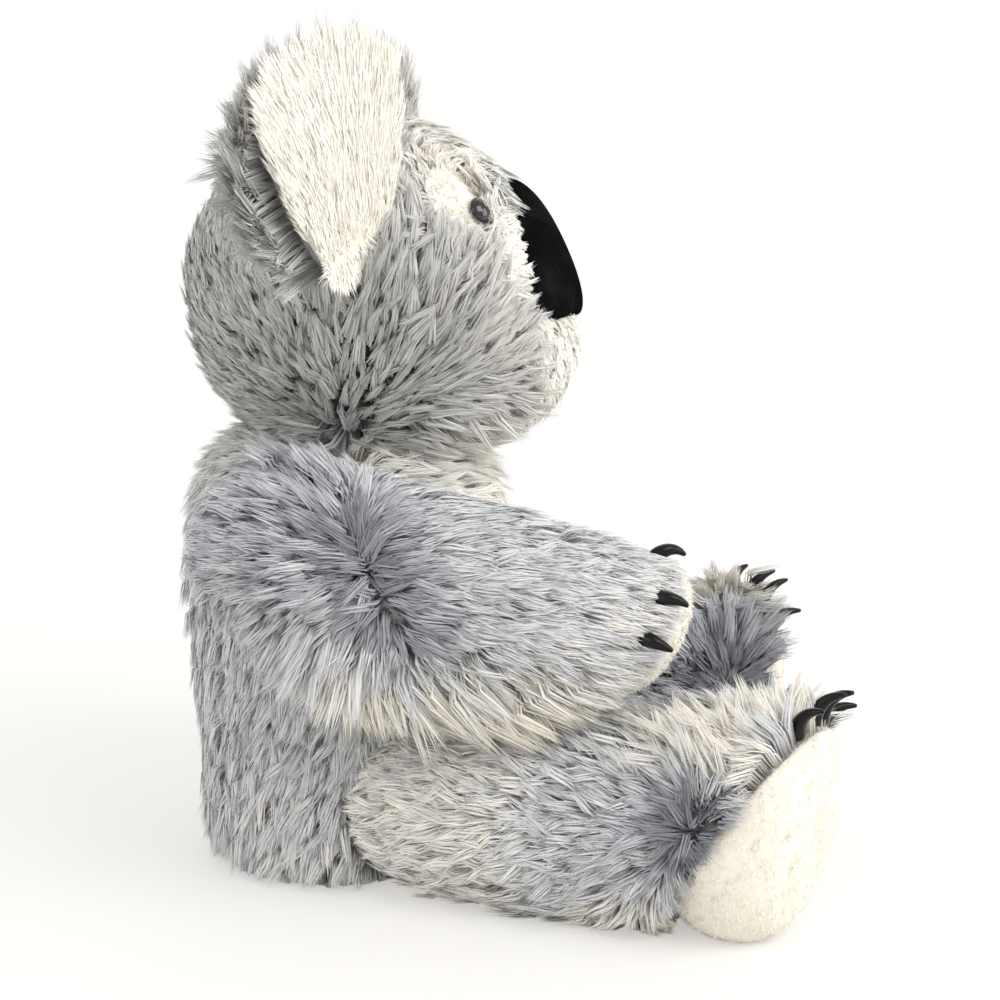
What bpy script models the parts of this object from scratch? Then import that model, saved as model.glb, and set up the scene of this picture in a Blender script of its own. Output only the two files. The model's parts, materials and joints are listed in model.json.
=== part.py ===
"""A plush koala that sits on the floor: fur fabric skins over stuffed forms, sewn together.

Metres, +Z up, +X forwards, +Y to the koala's left. The origin is the middle of the flat seat.
A skin is a fabric wall that follows the outer form of its body part, open where it is sewn to the
next one, and the stuffing fills it. Head, ears, arms and legs hang on empties, their joint axes.
"""

import math

import bmesh
import bpy
import numpy as np
from mathutils import Euler, Matrix, Vector
from mathutils.bvhtree import BVHTree

# Fabric, seams and clearances
FABRIC_WALL = 0.002
SEAM_GAP = 0.0003
FILL_GAP = 0.0008
MERGE_DISTANCE = 0.00001
FLOOR_FLAT = 0.0005

# Torso: heights are shares of its height, half depths and half widths shares of the chest's
TORSO_HEIGHT = 0.1577
CHEST_HALF_DEPTH = 0.050
CHEST_HALF_WIDTH = 0.053
NECK_RADIUS = 0.030
NECK_FORWARD = 0.005
TORSO_STATION_SHARES = (
    (0.0, 0.66, 0.64),
    (0.03, 0.80, 0.77),
    (0.10, 0.89, 0.85),
    (0.25, 0.94, 0.89),
    (0.50, 1.0, 0.95),
    (0.72, 1.0, 1.0),
    (0.86, 0.93, 0.94),
    (0.94, 0.80, 0.80),
)
SHOULDER_HALF_WIDTH = 0.0497
BIB_FOOT_SHARE = 0.43
BIB_HALF_ANGLE = math.radians(64)
TORSO_AROUND = 24
TORSO_RINGS = 14

# Bag of pellets that weighs the seat down
PELLET_BAG_HALF_DEPTH = 0.028
PELLET_BAG_HALF_WIDTH = 0.034
PELLET_BAG_THICKNESS = 0.016
PELLET_BAG_BACK = 0.010

# Head: it is measured from its centre, and cut flat at the neck
FACE_HALF_DEPTH = 0.052
NAPE_HALF_DEPTH = 0.064
HEAD_HALF_WIDTH = 0.060
CROWN_HALF_HEIGHT = 0.051
CHIN_HALF_HEIGHT = 0.066
NECK_OPENING_RADIUS = 0.038
HEAD_FORWARD = 0.008
SNOUT_RISE = 0.021
SNOUT_PITCH = math.radians(-25)
SNOUT_PITCH_REACH = math.radians(26)
SNOUT_YAW_REACH = math.radians(32)
HEAD_AROUND = 24
HEAD_RINGS = 14
FACE_HALF_ANGLE = math.radians(83)
MUZZLE_HALF_ANGLE = math.radians(23)
MUZZLE_TOP_SHARE = 0.46
MUZZLE_FOOT_SHARE = 0.15

# Nose pad, eyes and the white fabric round them
NOSE_PITCH = math.radians(13)
NOSE_HALF_WIDTH = 0.0195
NOSE_HALF_HEIGHT = 0.0235
NOSE_RISE = 0.0108
NOSE_EDGE = 0.0012
NOSE_PEAR_SHARE = 0.3
EYE_YAW = math.radians(45)
EYE_PITCH = math.radians(25)
EYE_RADIUS = 0.005
EYE_RISE = 0.0035
SHANK_RADIUS = 0.0016
SHANK_LENGTH = 0.009
WASHER_RADIUS = 0.0055
WASHER_THICKNESS = 0.0014
WASHER_SET = 0.0009
PATCH_YAW = math.radians(51)
PATCH_PITCH = math.radians(32)
PATCH_HALF_WIDTH = 0.0125
PATCH_HALF_HEIGHT = 0.0135
PATCH_THICKNESS = 0.0012

# Ears: a grey back and a white lining sewn together round the rim
EAR_YAW = math.radians(92)
EAR_PITCH = math.radians(7)
EAR_SEAT = 0.0058
EAR_FACING = math.radians(42)
EAR_LEAN_OUT = math.radians(25)
EAR_LEAN_BACK = math.radians(17)
EAR_HEIGHT = 0.068
EAR_HALF_WIDTH = 0.029
EAR_CUP = 0.011
EAR_BACK_THICKNESS = 0.013
EAR_LINING_THICKNESS = 0.004
EAR_RIM_SHARE = 0.22
EAR_OUTLINE_SHARES = ((0, 0.34), (0.2, 0.62), (0.45, 0.84), (0.65, 0.95), (0.84, 0.97), (0.95, 0.74), (1, 0.4))
EAR_ACROSS = 9
EAR_UP = 10

# Arms: they leave a flat seat on the torso's side, hang forwards and turn in at the wrist
SHOULDER_FORWARD = -0.012
SHOULDER_HEIGHT = 0.125
SHOULDER_FLAT = 0.0015
ARM_HALF_HEIGHT = 0.029
ARM_HALF_WIDTH = 0.0235
ARM_REACH = 0.120
ARM_DROP = math.radians(13.5)
ARM_TURN_IN = 0.010
HAND_PITCH = math.radians(21)
HAND_YAW = math.radians(26)
ARM_CAP_ANGLES = (math.radians(22), math.radians(46), math.radians(68))
ARM_STATION_SHARES = (
    (0.0, 1.0, 1.0, 0.0),
    (0.28, 0.99, 1.0, 0.0),
    (0.55, 0.96, 0.97, 0.0),
    (0.76, 0.90, 0.90, 0.15),
    (0.90, 0.86, 0.86, 0.6),
    (1.0, 0.78, 0.76, 1.0),
)
LEFT_ARM_LOWERED = math.radians(24)
LEFT_ARM_SAG = 0.005
LEFT_ARM_TURN_OUT = 0.054
LEFT_HAND_YAW = math.radians(-6)
ARM_TURN_POWER = 3
LEFT_ARM_TURN_POWER = 1.3
PALM_DOME = 0.007
LIMB_AROUND = 16
ARM_RINGS = 9

# Legs: a ball in a dish of the torso, a straight leg and a foot whose sole faces forwards
HIP_FORWARD = 0.035
HIP_SPREAD = 0.042
HIP_RADIUS = 0.031
HIP_FIRST_ANGLE = math.radians(36)
HIP_LAST_ANGLE = math.radians(112)
HIP_RINGS = 5
LEG_SPLAY = math.radians(22)
LEG_REACH = 0.112
LEG_STATION_SHARES = (
    (0.10, 0.927, 0.927, 0.0, 0.0),
    (0.25, 0.975, 0.955, 0.0, 0.0),
    (0.45, 1.0, 0.975, 0.0, 0.0),
    (0.62, 0.985, 0.945, 0.04, 0.04),
    (0.77, 1.05, 0.97, 0.1, 0.25),
    (0.90, 1.2, 1.04, 0.5, 0.62),
    (1.0, 1.32, 1.09, 1.0, 1.0),
)
LEG_RINGS = 8
FOOT_LIFT = 0.008
SOLE_PITCH = math.radians(35)
SOLE_YAW = math.radians(-8)
SOLE_DOME = 0.008
SOLE_OPENS = math.radians(25)

# Pads on palms and soles
PAD_EDGE = 0.0015
PAD_RING_SHARES = ((1.0, 0.0), (0.93, 0.35), (0.76, 0.66), (0.5, 0.88), (0.22, 0.99))

# Claws: stuffed hooks sewn into the fur above each pad
CLAW_RADIUS = 0.0035
CLAW_TIP_RADIUS = 0.0008
CLAW_POINTS = 6
CLAW_TAPER_POWER = 1.6
CLAW_RIM_ANGLES = [math.radians(angle) for angle in range(0, 360, 30)]
HAND_CLAW_BEND_RADIUS = 0.0066
HAND_CLAW_TURN = math.radians(120)
HAND_CLAW_ANGLES = (math.radians(-34), math.radians(6), math.radians(56), math.radians(88))
HAND_CLAW_SHARE = 0.89
FOOT_CLAW_BEND_RADIUS = 0.0105
FOOT_CLAW_TURN = math.radians(98)
FOOT_CLAW_ANGLES = (math.radians(-39), math.radians(-21), math.radians(-3), math.radians(15))
FOOT_CLAW_SHARE = 0.99

HAND_CLAW_HOOK = (HAND_CLAW_BEND_RADIUS, HAND_CLAW_TURN)
FOOT_CLAW_HOOK = (FOOT_CLAW_BEND_RADIUS, FOOT_CLAW_TURN)

# Sides of the koala, as the sign of Y
SIDES = {"right": -1, "left": 1}

GREY_FUR = ("grey_fur", (0.36, 0.38, 0.43), 0.95)
PALE_FUR = ("pale_fur", (0.80, 0.76, 0.68), 0.95)
CREAM_PLUSH = ("cream_plush", (0.83, 0.77, 0.66), 0.9)
BLACK_VELOUR = ("black_velour", (0.012, 0.012, 0.013), 0.95)
BLACK_GLOSS = ("black_gloss", (0.015, 0.014, 0.014), 0.25)
BLACK_LEATHERETTE = ("black_leatherette", (0.02, 0.018, 0.018), 0.35)
WHITE_STUFFING = ("white_stuffing", (0.85, 0.85, 0.83), 1.0)
PELLET_CLOTH = ("pellet_cloth", (0.72, 0.72, 0.68), 0.85)
WASHER_PLASTIC = ("washer_plastic", (0.8, 0.8, 0.78), 0.5)


def clear_scene():
    """Removes every object that the scene starts with."""
    for obj in list(bpy.data.objects):
        bpy.data.objects.remove(obj, do_unlink=True)


def material_of(finish):
    """The Principled material of a finish, made on its first use."""
    name, colour, roughness = finish
    found = bpy.data.materials.get(name)
    if found:
        return found
    made = bpy.data.materials.new(name)
    made.use_nodes = True
    shader = made.node_tree.nodes["Principled BSDF"]
    shader.inputs["Base Color"].default_value = (*colour, 1)
    shader.inputs["Roughness"].default_value = roughness
    shader.inputs["Metallic"].default_value = 0
    return made


def pivot(name, place, turn=(0, 0, 0), parent=None):
    """An empty on a joint's axis, which carries the pieces that move with it."""
    empty = bpy.data.objects.new(name, None)
    bpy.context.scene.collection.objects.link(empty)
    empty.location = place
    empty.rotation_euler = turn
    empty.parent = parent
    return empty


def add_object(name, data, finish, parent):
    """Links a mesh or curve as a named piece with its own material."""
    obj = bpy.data.objects.new(name, data)
    bpy.context.scene.collection.objects.link(obj)
    obj.parent = parent
    data.materials.append(material_of(finish))
    return obj


def add_form(name, form, finish, parent):
    """Turns a bmesh into a smooth-shaded piece."""
    bmesh.ops.recalc_face_normals(form, faces=form.faces)
    mesh = bpy.data.meshes.new(name)
    form.to_mesh(mesh)
    form.free()
    mesh.shade_smooth()
    mesh.set_sharp_from_angle(angle=math.radians(50))
    return add_object(name, mesh, finish, parent)


def through(stations, count):
    """Reads count rows of a smooth curve through the stations, evenly from station to station."""
    table = np.array(stations, float)
    slopes = np.gradient(table, axis=0)
    at = np.linspace(0, len(table) - 1, count)
    low = np.minimum(at.astype(int), len(table) - 2)
    t = (at - low)[:, None]
    return (
        (2 * t**3 - 3 * t**2 + 1) * table[low]
        + (t**3 - 2 * t**2 + t) * slopes[low]
        + (3 * t**2 - 2 * t**3) * table[low + 1]
        + (t**3 - t**2) * slopes[low + 1]
    )


def form_of(rings):
    """A closed bmesh through rings of points, with a flat face over each end.

    Each face keeps its band, the number of the ring below it, and its step round the ring. The
    first end's band is -1.
    """
    form = bmesh.new()
    band = form.faces.layers.int.new("band")
    step = form.faces.layers.int.new("step")
    loops = [[form.verts.new(point) for point in ring] for ring in rings]
    around = len(loops[0])
    for number, (lower, upper) in enumerate(zip(loops, loops[1:])):
        for i in range(around):
            after = (i + 1) % around
            face = form.faces.new((lower[i], lower[after], upper[after], upper[i]))
            face[band] = number
            face[step] = i
    form.faces.new(loops[0])[band] = -1
    form.faces.new(loops[-1])[band] = len(loops) - 1
    bmesh.ops.triangulate(form, faces=form.faces)
    bmesh.ops.recalc_face_normals(form, faces=form.faces)
    form.normal_update()
    return form


def drawn_in(form, depth):
    """Moves a closed form's surface inwards by the depth, also at its edges."""
    places = [vert.co - vert.normal * depth * vert.calc_shell_factor() for vert in form.verts]
    for vert, place in zip(form.verts, places):
        vert.co = place
    return form


def sewn_panel(name, form, belongs, finish, parent):
    """One fabric panel: those faces of a closed form that belong to it, a fabric wall deep.

    Its edge is drawn back by half a seam gap, so that two panels of a form meet with a gap.
    """
    kept = [face for face in form.faces if belongs(face)]
    chosen = {face.index for face in kept}
    panel = bmesh.new()
    outer, inner = {}, {}
    for vert in form.verts:
        mine = [face for face in vert.link_faces if face.index in chosen]
        if not mine:
            continue
        place = vert.co.copy()
        if len(mine) < len(vert.link_faces):
            middle = sum((face.calc_center_median() for face in mine), Vector()) / len(mine)
            place += (middle - place).normalized() * SEAM_GAP
        outer[vert] = panel.verts.new(place)
        inner[vert] = panel.verts.new(place - vert.normal * FABRIC_WALL * vert.calc_shell_factor())
    for face in kept:
        panel.faces.new([outer[vert] for vert in face.verts])
        panel.faces.new([inner[vert] for vert in reversed(face.verts)])
        for loop in face.loops:
            beyond = [other for other in loop.edge.link_faces if other.index not in chosen]
            if beyond:
                start, end = loop.vert, loop.link_loop_next.vert
                panel.faces.new((outer[end], outer[start], inner[start], inner[end]))
    return add_form(name, panel, finish, parent)


def hidden_cutter(name, form, parent):
    """A shape that only cuts others."""
    cutter = add_form(name, form, WHITE_STUFFING, parent)
    cutter.hide_render = True
    cutter.display_type = "WIRE"
    return cutter


def cut(piece, cutter):
    """Cuts a piece with a hidden cutter."""
    boolean = piece.modifiers.new(cutter.name, "BOOLEAN")
    boolean.operation = "DIFFERENCE"
    boolean.solver = "EXACT"
    boolean.object = cutter


def turned(name, profile, steps, closed, finish, parent):
    """A round piece: the profile, given top to bottom, turned about the object's Z axis."""
    mesh = bpy.data.meshes.new(name)
    edges = [(i, i + 1) for i in range(len(profile) - 1)]
    if closed:
        edges.append((len(profile) - 1, 0))
    mesh.from_pydata([(radius, 0, height) for radius, height in profile], edges, [])
    obj = add_object(name, mesh, finish, parent)
    screw = obj.modifiers.new("Turn", "SCREW")
    screw.steps = steps
    screw.render_steps = steps
    screw.use_merge_vertices = True
    screw.merge_threshold = MERGE_DISTANCE
    screw.use_smooth_shade = True
    return obj


def ellipse_points(centres, ups, outs, around):
    """Rings of points: each ring is an ellipse with the half axes up and out about its centre."""
    turn = np.linspace(0, 2 * math.pi, around, endpoint=False)
    cosines = np.cos(turn)[None, :, None]
    sines = np.sin(turn)[None, :, None]
    return centres[:, None] + cosines * ups[:, None] + sines * outs[:, None]


def torso_rings(around, count):
    """The torso's rings from the seat to the neck, flat at both shoulders."""
    stations = [
        (TORSO_HEIGHT * height, CHEST_HALF_DEPTH * depth, CHEST_HALF_WIDTH * width, 0)
        for height, depth, width in TORSO_STATION_SHARES
    ]
    stations.append((TORSO_HEIGHT, NECK_RADIUS, NECK_RADIUS, NECK_FORWARD))
    height, depth, width, forward = through(stations, count).T
    nothing = np.zeros(count)
    centres = np.stack([forward, nothing, height], 1)
    fronts = np.stack([depth, nothing, nothing], 1)
    lefts = np.stack([nothing, width, nothing], 1)
    rings = ellipse_points(centres, fronts, lefts, around)
    rings[:, :, 1] = rings[:, :, 1].clip(-SHOULDER_HALF_WIDTH, SHOULDER_HALF_WIDTH)
    return rings


def step_angle(face, layer, around):
    """The angle between a face and the first direction of its ring, from 0 to half a turn."""
    turn = (face[layer] + 0.5) * 2 * math.pi / around
    return min(turn, 2 * math.pi - turn)


def hip_place(side):
    """The middle of the hip ball, which rests flat on the floor."""
    return Vector((HIP_FORWARD, side * HIP_SPREAD, HIP_RADIUS - FLOOR_FLAT))


def hip_cutter(side_name, side):
    """The dish of one hip: a ball with clearance round the leg's ball."""
    form = bmesh.new()
    bmesh.ops.create_uvsphere(
        form, u_segments=LIMB_AROUND + LIMB_AROUND // 2, v_segments=LIMB_AROUND, radius=HIP_RADIUS + FILL_GAP
    )
    cutter = hidden_cutter(f"{side_name}_hip_dish", form, None)
    cutter.location = hip_place(side)
    return cutter


def make_torso():
    """The torso: a grey back, a white bib, the stuffing and the bag of pellets in the seat."""
    form = form_of(torso_rings(TORSO_AROUND, TORSO_RINGS))
    band = form.faces.layers.int["band"]
    step = form.faces.layers.int["step"]

    def on_bib(face):
        high_enough = TORSO_RINGS - 1 > face[band] >= BIB_FOOT_SHARE * TORSO_RINGS
        return high_enough and step_angle(face, step, TORSO_AROUND) < BIB_HALF_ANGLE

    back = sewn_panel("torso_back_skin", form, lambda face: not on_bib(face), GREY_FUR, None)
    sewn_panel("belly_panel", form, on_bib, PALE_FUR, None)
    form.free()
    rings = torso_rings(TORSO_AROUND, TORSO_RINGS)
    floor = PELLET_BAG_THICKNESS + FABRIC_WALL + SEAM_GAP
    rings = rings[rings[:, 0, 2] > floor]
    filling = drawn_in(form_of(rings), FABRIC_WALL + FILL_GAP)
    stuffing = add_form("torso_stuffing", filling, WHITE_STUFFING, None)
    for side_name, side in SIDES.items():
        dish = hip_cutter(side_name, side)
        cut(back, dish)
        cut(stuffing, dish)
    make_pellet_bag()


def make_pellet_bag():
    """A flat cushion of pellets on the seat's fabric, behind the hips."""
    half = PELLET_BAG_THICKNESS / 2
    lift = np.sin(np.linspace(-1, 1, 7) * math.radians(72))
    spread = np.cos(np.linspace(-1, 1, 7) * math.radians(72)) ** 0.5
    nothing = np.zeros(len(lift))
    lift = lift / lift.max() * half
    middle = FABRIC_WALL + SEAM_GAP + half
    centres = np.stack([nothing - PELLET_BAG_BACK, nothing, middle + lift], 1)
    fronts = np.stack([PELLET_BAG_HALF_DEPTH * spread, nothing, nothing], 1)
    lefts = np.stack([nothing, PELLET_BAG_HALF_WIDTH * spread, nothing], 1)
    form = form_of(ellipse_points(centres, fronts, lefts, LIMB_AROUND))
    add_form("pellet_bag", form, PELLET_CLOTH, None)


def head_rise():
    """How high the head's centre lies over the neck, so that the neck cuts its opening's size."""
    return CHIN_HALF_HEIGHT * math.sqrt(1 - (NECK_OPENING_RADIUS / NAPE_HALF_DEPTH) ** 2)


def head_centre():
    """The head's centre, from the neck's pivot."""
    return np.array([HEAD_FORWARD, 0, head_rise()])


def directions(yaw, pitch):
    """Unit vectors: yaw is counted from the face towards the left, pitch upwards."""
    yaw, pitch = np.broadcast_arrays(yaw, pitch)
    level = np.cos(pitch)
    return np.stack([level * np.cos(yaw), level * np.sin(yaw), np.sin(pitch)], -1)


def head_radius(yaw, pitch):
    """From the head's centre to its surface: four parts of ellipsoids and a snout that bulges out."""
    ahead, aside, above = np.moveaxis(directions(yaw, pitch), -1, 0)
    depth = np.where(ahead > 0, FACE_HALF_DEPTH, NAPE_HALF_DEPTH)
    height = np.where(above > 0, CROWN_HALF_HEIGHT, CHIN_HALF_HEIGHT)
    plain = 1 / np.sqrt((ahead / depth) ** 2 + (aside / HEAD_HALF_WIDTH) ** 2 + (above / height) ** 2)
    yaw = (np.asarray(yaw) + math.pi) % (2 * math.pi) - math.pi
    off_yaw = yaw * np.cos(pitch) / SNOUT_YAW_REACH
    off_pitch = (np.asarray(pitch) - SNOUT_PITCH) / SNOUT_PITCH_REACH
    return plain + SNOUT_RISE * np.exp(-(off_yaw**2) - off_pitch**2)


def head_point(yaw, pitch, over):
    """A point over the head's surface, from the neck's pivot."""
    far = (head_radius(yaw, pitch) + over)[..., None]
    return head_centre() + directions(yaw, pitch) * far


def neck_pitch(yaw):
    """The pitch at which the head's surface meets the neck's plane, found by halving."""
    low = np.full(yaw.shape, -math.pi / 2)
    high = np.full(yaw.shape, math.radians(-20))
    for _ in range(40):
        middle = (low + high) / 2
        below = head_radius(yaw, middle) * np.sin(middle) < -head_rise()
        low = np.where(below, middle, low)
        high = np.where(below, high, middle)
    return (low + high) / 2


def head_rings(around, count):
    """The head's rings from the neck's opening to the crown."""
    yaw = np.linspace(0, 2 * math.pi, around, endpoint=False)[None, :]
    start = neck_pitch(yaw)
    share = np.linspace(0, 1, count + 1)[:-1, None]
    pitch = start + (math.pi / 2 - start) * share
    return head_point(yaw + 0 * pitch, pitch, 0)


def lens_rings(yaw, pitch, half_width, half_height, edge, rise, around, pear=0):
    """Rings of a pad that lies on the head: under its back, round its edge and over its dome.

    A pad with a pear share is wider at its foot than at its top.
    """
    turn = np.linspace(0, 2 * math.pi, around, endpoint=False)
    radius = float(head_radius(yaw, pitch))
    rows = [(share, 0.0) for share in (0.3, 0.7, 1.0)]
    rows += [(share, edge + rise * math.sqrt(1 - share**2)) for share in (1.0, 0.94, 0.8, 0.55, 0.25)]
    rings = []
    for share, over in rows:
        wide = share * half_width * (1 - pear * np.sin(turn))
        yaws = yaw + wide / (radius * math.cos(pitch)) * np.cos(turn)
        pitches = pitch + share * half_height / radius * np.sin(turn)
        rings.append(head_point(yaws, pitches, SEAM_GAP + over))
    return np.array(rings)


def make_head(neck):
    """The head's skins and stuffing, the nose, and on each side an eye and an ear."""
    form = form_of(head_rings(HEAD_AROUND, HEAD_RINGS))
    band = form.faces.layers.int["band"]
    step = form.faces.layers.int["step"]

    def on_muzzle(face):
        share = face[band] / HEAD_RINGS
        inside = MUZZLE_FOOT_SHARE <= share < MUZZLE_TOP_SHARE
        return inside and step_angle(face, step, HEAD_AROUND) < MUZZLE_HALF_ANGLE

    def on_face(face):
        in_front = step_angle(face, step, HEAD_AROUND) < FACE_HALF_ANGLE
        return 0 <= face[band] < HEAD_RINGS - 1 and in_front and not on_muzzle(face)

    def on_nape(face):
        behind = step_angle(face, step, HEAD_AROUND) > FACE_HALF_ANGLE
        return face[band] == HEAD_RINGS - 1 or (face[band] >= 0 and behind)

    face_skin = sewn_panel("face_skin", form, on_face, GREY_FUR, neck)
    sewn_panel("head_back_skin", form, on_nape, GREY_FUR, neck)
    sewn_panel("muzzle_panel", form, on_muzzle, PALE_FUR, neck)
    form.free()
    filling = drawn_in(form_of(head_rings(HEAD_AROUND, HEAD_RINGS)), FABRIC_WALL + FILL_GAP)
    stuffing = add_form("head_stuffing", filling, WHITE_STUFFING, neck)
    nose = lens_rings(
        0, NOSE_PITCH, NOSE_HALF_WIDTH, NOSE_HALF_HEIGHT, NOSE_EDGE, NOSE_RISE, LIMB_AROUND, NOSE_PEAR_SHARE
    )
    add_form("nose_pad", form_of(nose), BLACK_VELOUR, neck)
    for side_name, side in SIDES.items():
        make_eye(side_name, side, face_skin, stuffing, neck)
        make_ear(side_name, side, neck)


def surface_axis(yaw, pitch):
    """The outward normal of the head's surface."""
    step = math.radians(1)
    across = head_point(yaw + step, pitch, 0) - head_point(yaw - step, pitch, 0)
    upwards = head_point(yaw, pitch + step, 0) - head_point(yaw, pitch - step, 0)
    return Vector(np.cross(across, upwards)).normalized()


def round_cutter(name, radius, low, high, parent):
    """A cylinder along Z that cuts a hole or a pocket from low to high."""
    form = bmesh.new()
    bmesh.ops.create_cone(
        form,
        cap_ends=True,
        segments=LIMB_AROUND,
        radius1=radius,
        radius2=radius,
        depth=high - low,
        matrix=Matrix.Translation((0, 0, (low + high) / 2)),
    )
    return hidden_cutter(name, form, parent)


def make_eye(side_name, side, face_skin, stuffing, neck):
    """A domed eye on a shank, its washer inside the skin, and the white fabric round it."""
    yaw = side * EYE_YAW
    axis = surface_axis(yaw, EYE_PITCH)
    place = Vector(head_point(yaw, EYE_PITCH, 0))
    turn = axis.to_track_quat("Z", "Y").to_euler()
    seat = pivot(f"{side_name}_eye_seat", place, turn, neck)
    back = PATCH_THICKNESS + FILL_GAP + SEAM_GAP
    dome = [math.radians(angle) for angle in (0, 25, 50, 72, 90)]
    profile = [(EYE_RADIUS * math.sin(angle), back + EYE_RISE * math.cos(angle)) for angle in dome]
    profile += [(SHANK_RADIUS, back), (SHANK_RADIUS, back - SHANK_LENGTH), (0, back - SHANK_LENGTH)]
    turned(f"{side_name}_eye", profile, LIMB_AROUND, False, BLACK_GLOSS, seat)
    top = -FABRIC_WALL - WASHER_SET
    bore = SHANK_RADIUS + SEAM_GAP
    washer = [
        (WASHER_RADIUS, top),
        (WASHER_RADIUS, top - WASHER_THICKNESS),
        (bore, top - WASHER_THICKNESS),
        (bore, top),
    ]
    turned(f"{side_name}_eye_washer", washer, LIMB_AROUND, True, WASHER_PLASTIC, seat)
    rings = lens_rings(
        side * PATCH_YAW, PATCH_PITCH, PATCH_HALF_WIDTH, PATCH_HALF_HEIGHT, PATCH_THICKNESS, 0, LIMB_AROUND
    )
    patch = add_form(f"{side_name}_eye_patch", form_of(rings), PALE_FUR, neck)
    hole = round_cutter(f"{side_name}_eye_hole", bore, -SHANK_LENGTH, SHANK_LENGTH, seat)
    cut(face_skin, hole)
    cut(patch, hole)
    pocket_floor = -SHANK_LENGTH - FILL_GAP
    pocket = round_cutter(
        f"{side_name}_washer_pocket", WASHER_RADIUS + FILL_GAP, pocket_floor, SHANK_LENGTH, seat
    )
    cut(stuffing, pocket)


def ear_place(side):
    """Where the ear is sewn on, just outside the head's surface."""
    return Vector(head_point(side * EAR_YAW, EAR_PITCH, EAR_SEAT))


def ear_turn(side):
    """The ear's own axes: X across its width, Y through its thickness to the lining, Z up."""
    upwards = Vector((-math.sin(EAR_LEAN_BACK), side * math.sin(EAR_LEAN_OUT), 1)).normalized()
    facing = Vector((math.cos(EAR_FACING), side * math.sin(EAR_FACING), 0))
    facing = (facing - upwards * facing.dot(upwards)).normalized()
    across = facing.cross(upwards)
    return Matrix((across, facing, upwards)).transposed().to_euler()


def ear_sheet(low, high):
    """A cupped leaf between two depths through the ear, each given at its middle and at its rim."""
    share = np.linspace(0, 1, EAR_UP)
    table = np.array(EAR_OUTLINE_SHARES)
    half = EAR_HALF_WIDTH * np.interp(share, table[:, 0], table[:, 1])
    across = np.linspace(-1, 1, EAR_ACROSS)
    wide, tall = np.meshgrid(across, share)
    bow = EAR_CUP * (wide * half[:, None] / EAR_HALF_WIDTH) ** 2
    fullness = np.sqrt(1 - wide**2) * np.sin(math.pi * tall**1.2).clip(0)
    sheets = []
    for middle, rim in (low, high):
        through_ear = bow + rim + (middle - rim) * fullness
        sheets.append(np.stack([wide * half[:, None], through_ear, EAR_HEIGHT * tall], -1))
    return sheets


def closed_sheet(back, front):
    """A closed form of two grids of points that share their outline's shape."""
    form = bmesh.new()
    rows, columns = back.shape[:2]
    grids = [[[form.verts.new(point) for point in row] for row in grid] for grid in (back, front)]
    for grid in grids:
        for i in range(rows - 1):
            for j in range(columns - 1):
                form.faces.new((grid[i][j], grid[i][j + 1], grid[i + 1][j + 1], grid[i + 1][j]))
    edge = [(0, j) for j in range(columns)] + [(i, columns - 1) for i in range(1, rows)]
    edge += [(rows - 1, j) for j in range(columns - 2, -1, -1)] + [(i, 0) for i in range(rows - 2, 0, -1)]
    for (i, j), (k, m) in zip(edge, edge[1:] + edge[:1]):
        form.faces.new((grids[0][i][j], grids[0][k][m], grids[1][k][m], grids[1][i][j]))
    return form


def make_ear(side_name, side, neck):
    """One ear on its own joint: the grey back and the white lining."""
    seat = pivot(f"{side_name}_ear_base", ear_place(side), ear_turn(side), neck)
    rim = EAR_RIM_SHARE * EAR_BACK_THICKNESS
    back, front = ear_sheet((-EAR_BACK_THICKNESS, -rim), (0, 0))
    add_form(f"{side_name}_ear_back", closed_sheet(back, front), GREY_FUR, seat)
    lining_rim = SEAM_GAP + EAR_RIM_SHARE * EAR_LINING_THICKNESS
    back, front = ear_sheet((SEAM_GAP, SEAM_GAP), (SEAM_GAP + EAR_LINING_THICKNESS, lining_rim))
    add_form(f"{side_name}_ear_lining", closed_sheet(back, front), PALE_FUR, seat)


def ring_axes(side, pitch, yaw):
    """A limb's direction, its upward and its outward axis. Pitch is down, yaw is inwards."""
    ahead = np.stack([np.cos(yaw) * np.cos(pitch), -side * np.sin(yaw) * np.cos(pitch), -np.sin(pitch)], 1)
    upwards = np.stack([np.sin(pitch) * np.cos(yaw), -side * np.sin(yaw) * np.sin(pitch), np.cos(pitch)], 1)
    outwards = np.stack([np.sin(yaw), side * np.cos(yaw), 0 * yaw], 1)
    return ahead, upwards, outwards


def arm_frames(side, lowered):
    """The arm's rings from the shoulder's round end to the wrist: centres and half axes.

    The right arm turns in at the hand. The lowered left arm turns out past the leg, and sags.
    """
    if lowered:
        turn_in, power, hand_yaw, sag = -LEFT_ARM_TURN_OUT, LEFT_ARM_TURN_POWER, LEFT_HAND_YAW, LEFT_ARM_SAG
    else:
        turn_in, power, hand_yaw, sag = ARM_TURN_IN, ARM_TURN_POWER, HAND_YAW, 0
    rows = [
        (-ARM_HALF_HEIGHT * math.cos(angle), math.sin(angle), math.sin(angle), 0)
        for angle in ARM_CAP_ANGLES
    ]
    stations = [(ARM_REACH * along, tall, wide, bend) for along, tall, wide, bend in ARM_STATION_SHARES]
    along, tall, wide, bend = np.concatenate([rows, through(stations, ARM_RINGS)]).T
    ahead, upwards, outwards = ring_axes(side, ARM_DROP + HAND_PITCH * bend, hand_yaw * bend)
    inwards = turn_in * (along / ARM_REACH).clip(0, 1) ** power
    offset = side * (ARM_HALF_WIDTH - SHOULDER_FLAT - inwards)
    hang = sag * np.sin(math.pi * (along / ARM_REACH).clip(0, 1))
    centres = np.stack([along * math.cos(ARM_DROP), offset, -along * math.sin(ARM_DROP) - hang], 1)
    ups = upwards * (ARM_HALF_HEIGHT * tall)[:, None]
    outs = outwards * (ARM_HALF_WIDTH * wide)[:, None]
    return centres, ups, outs, ahead


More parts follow.
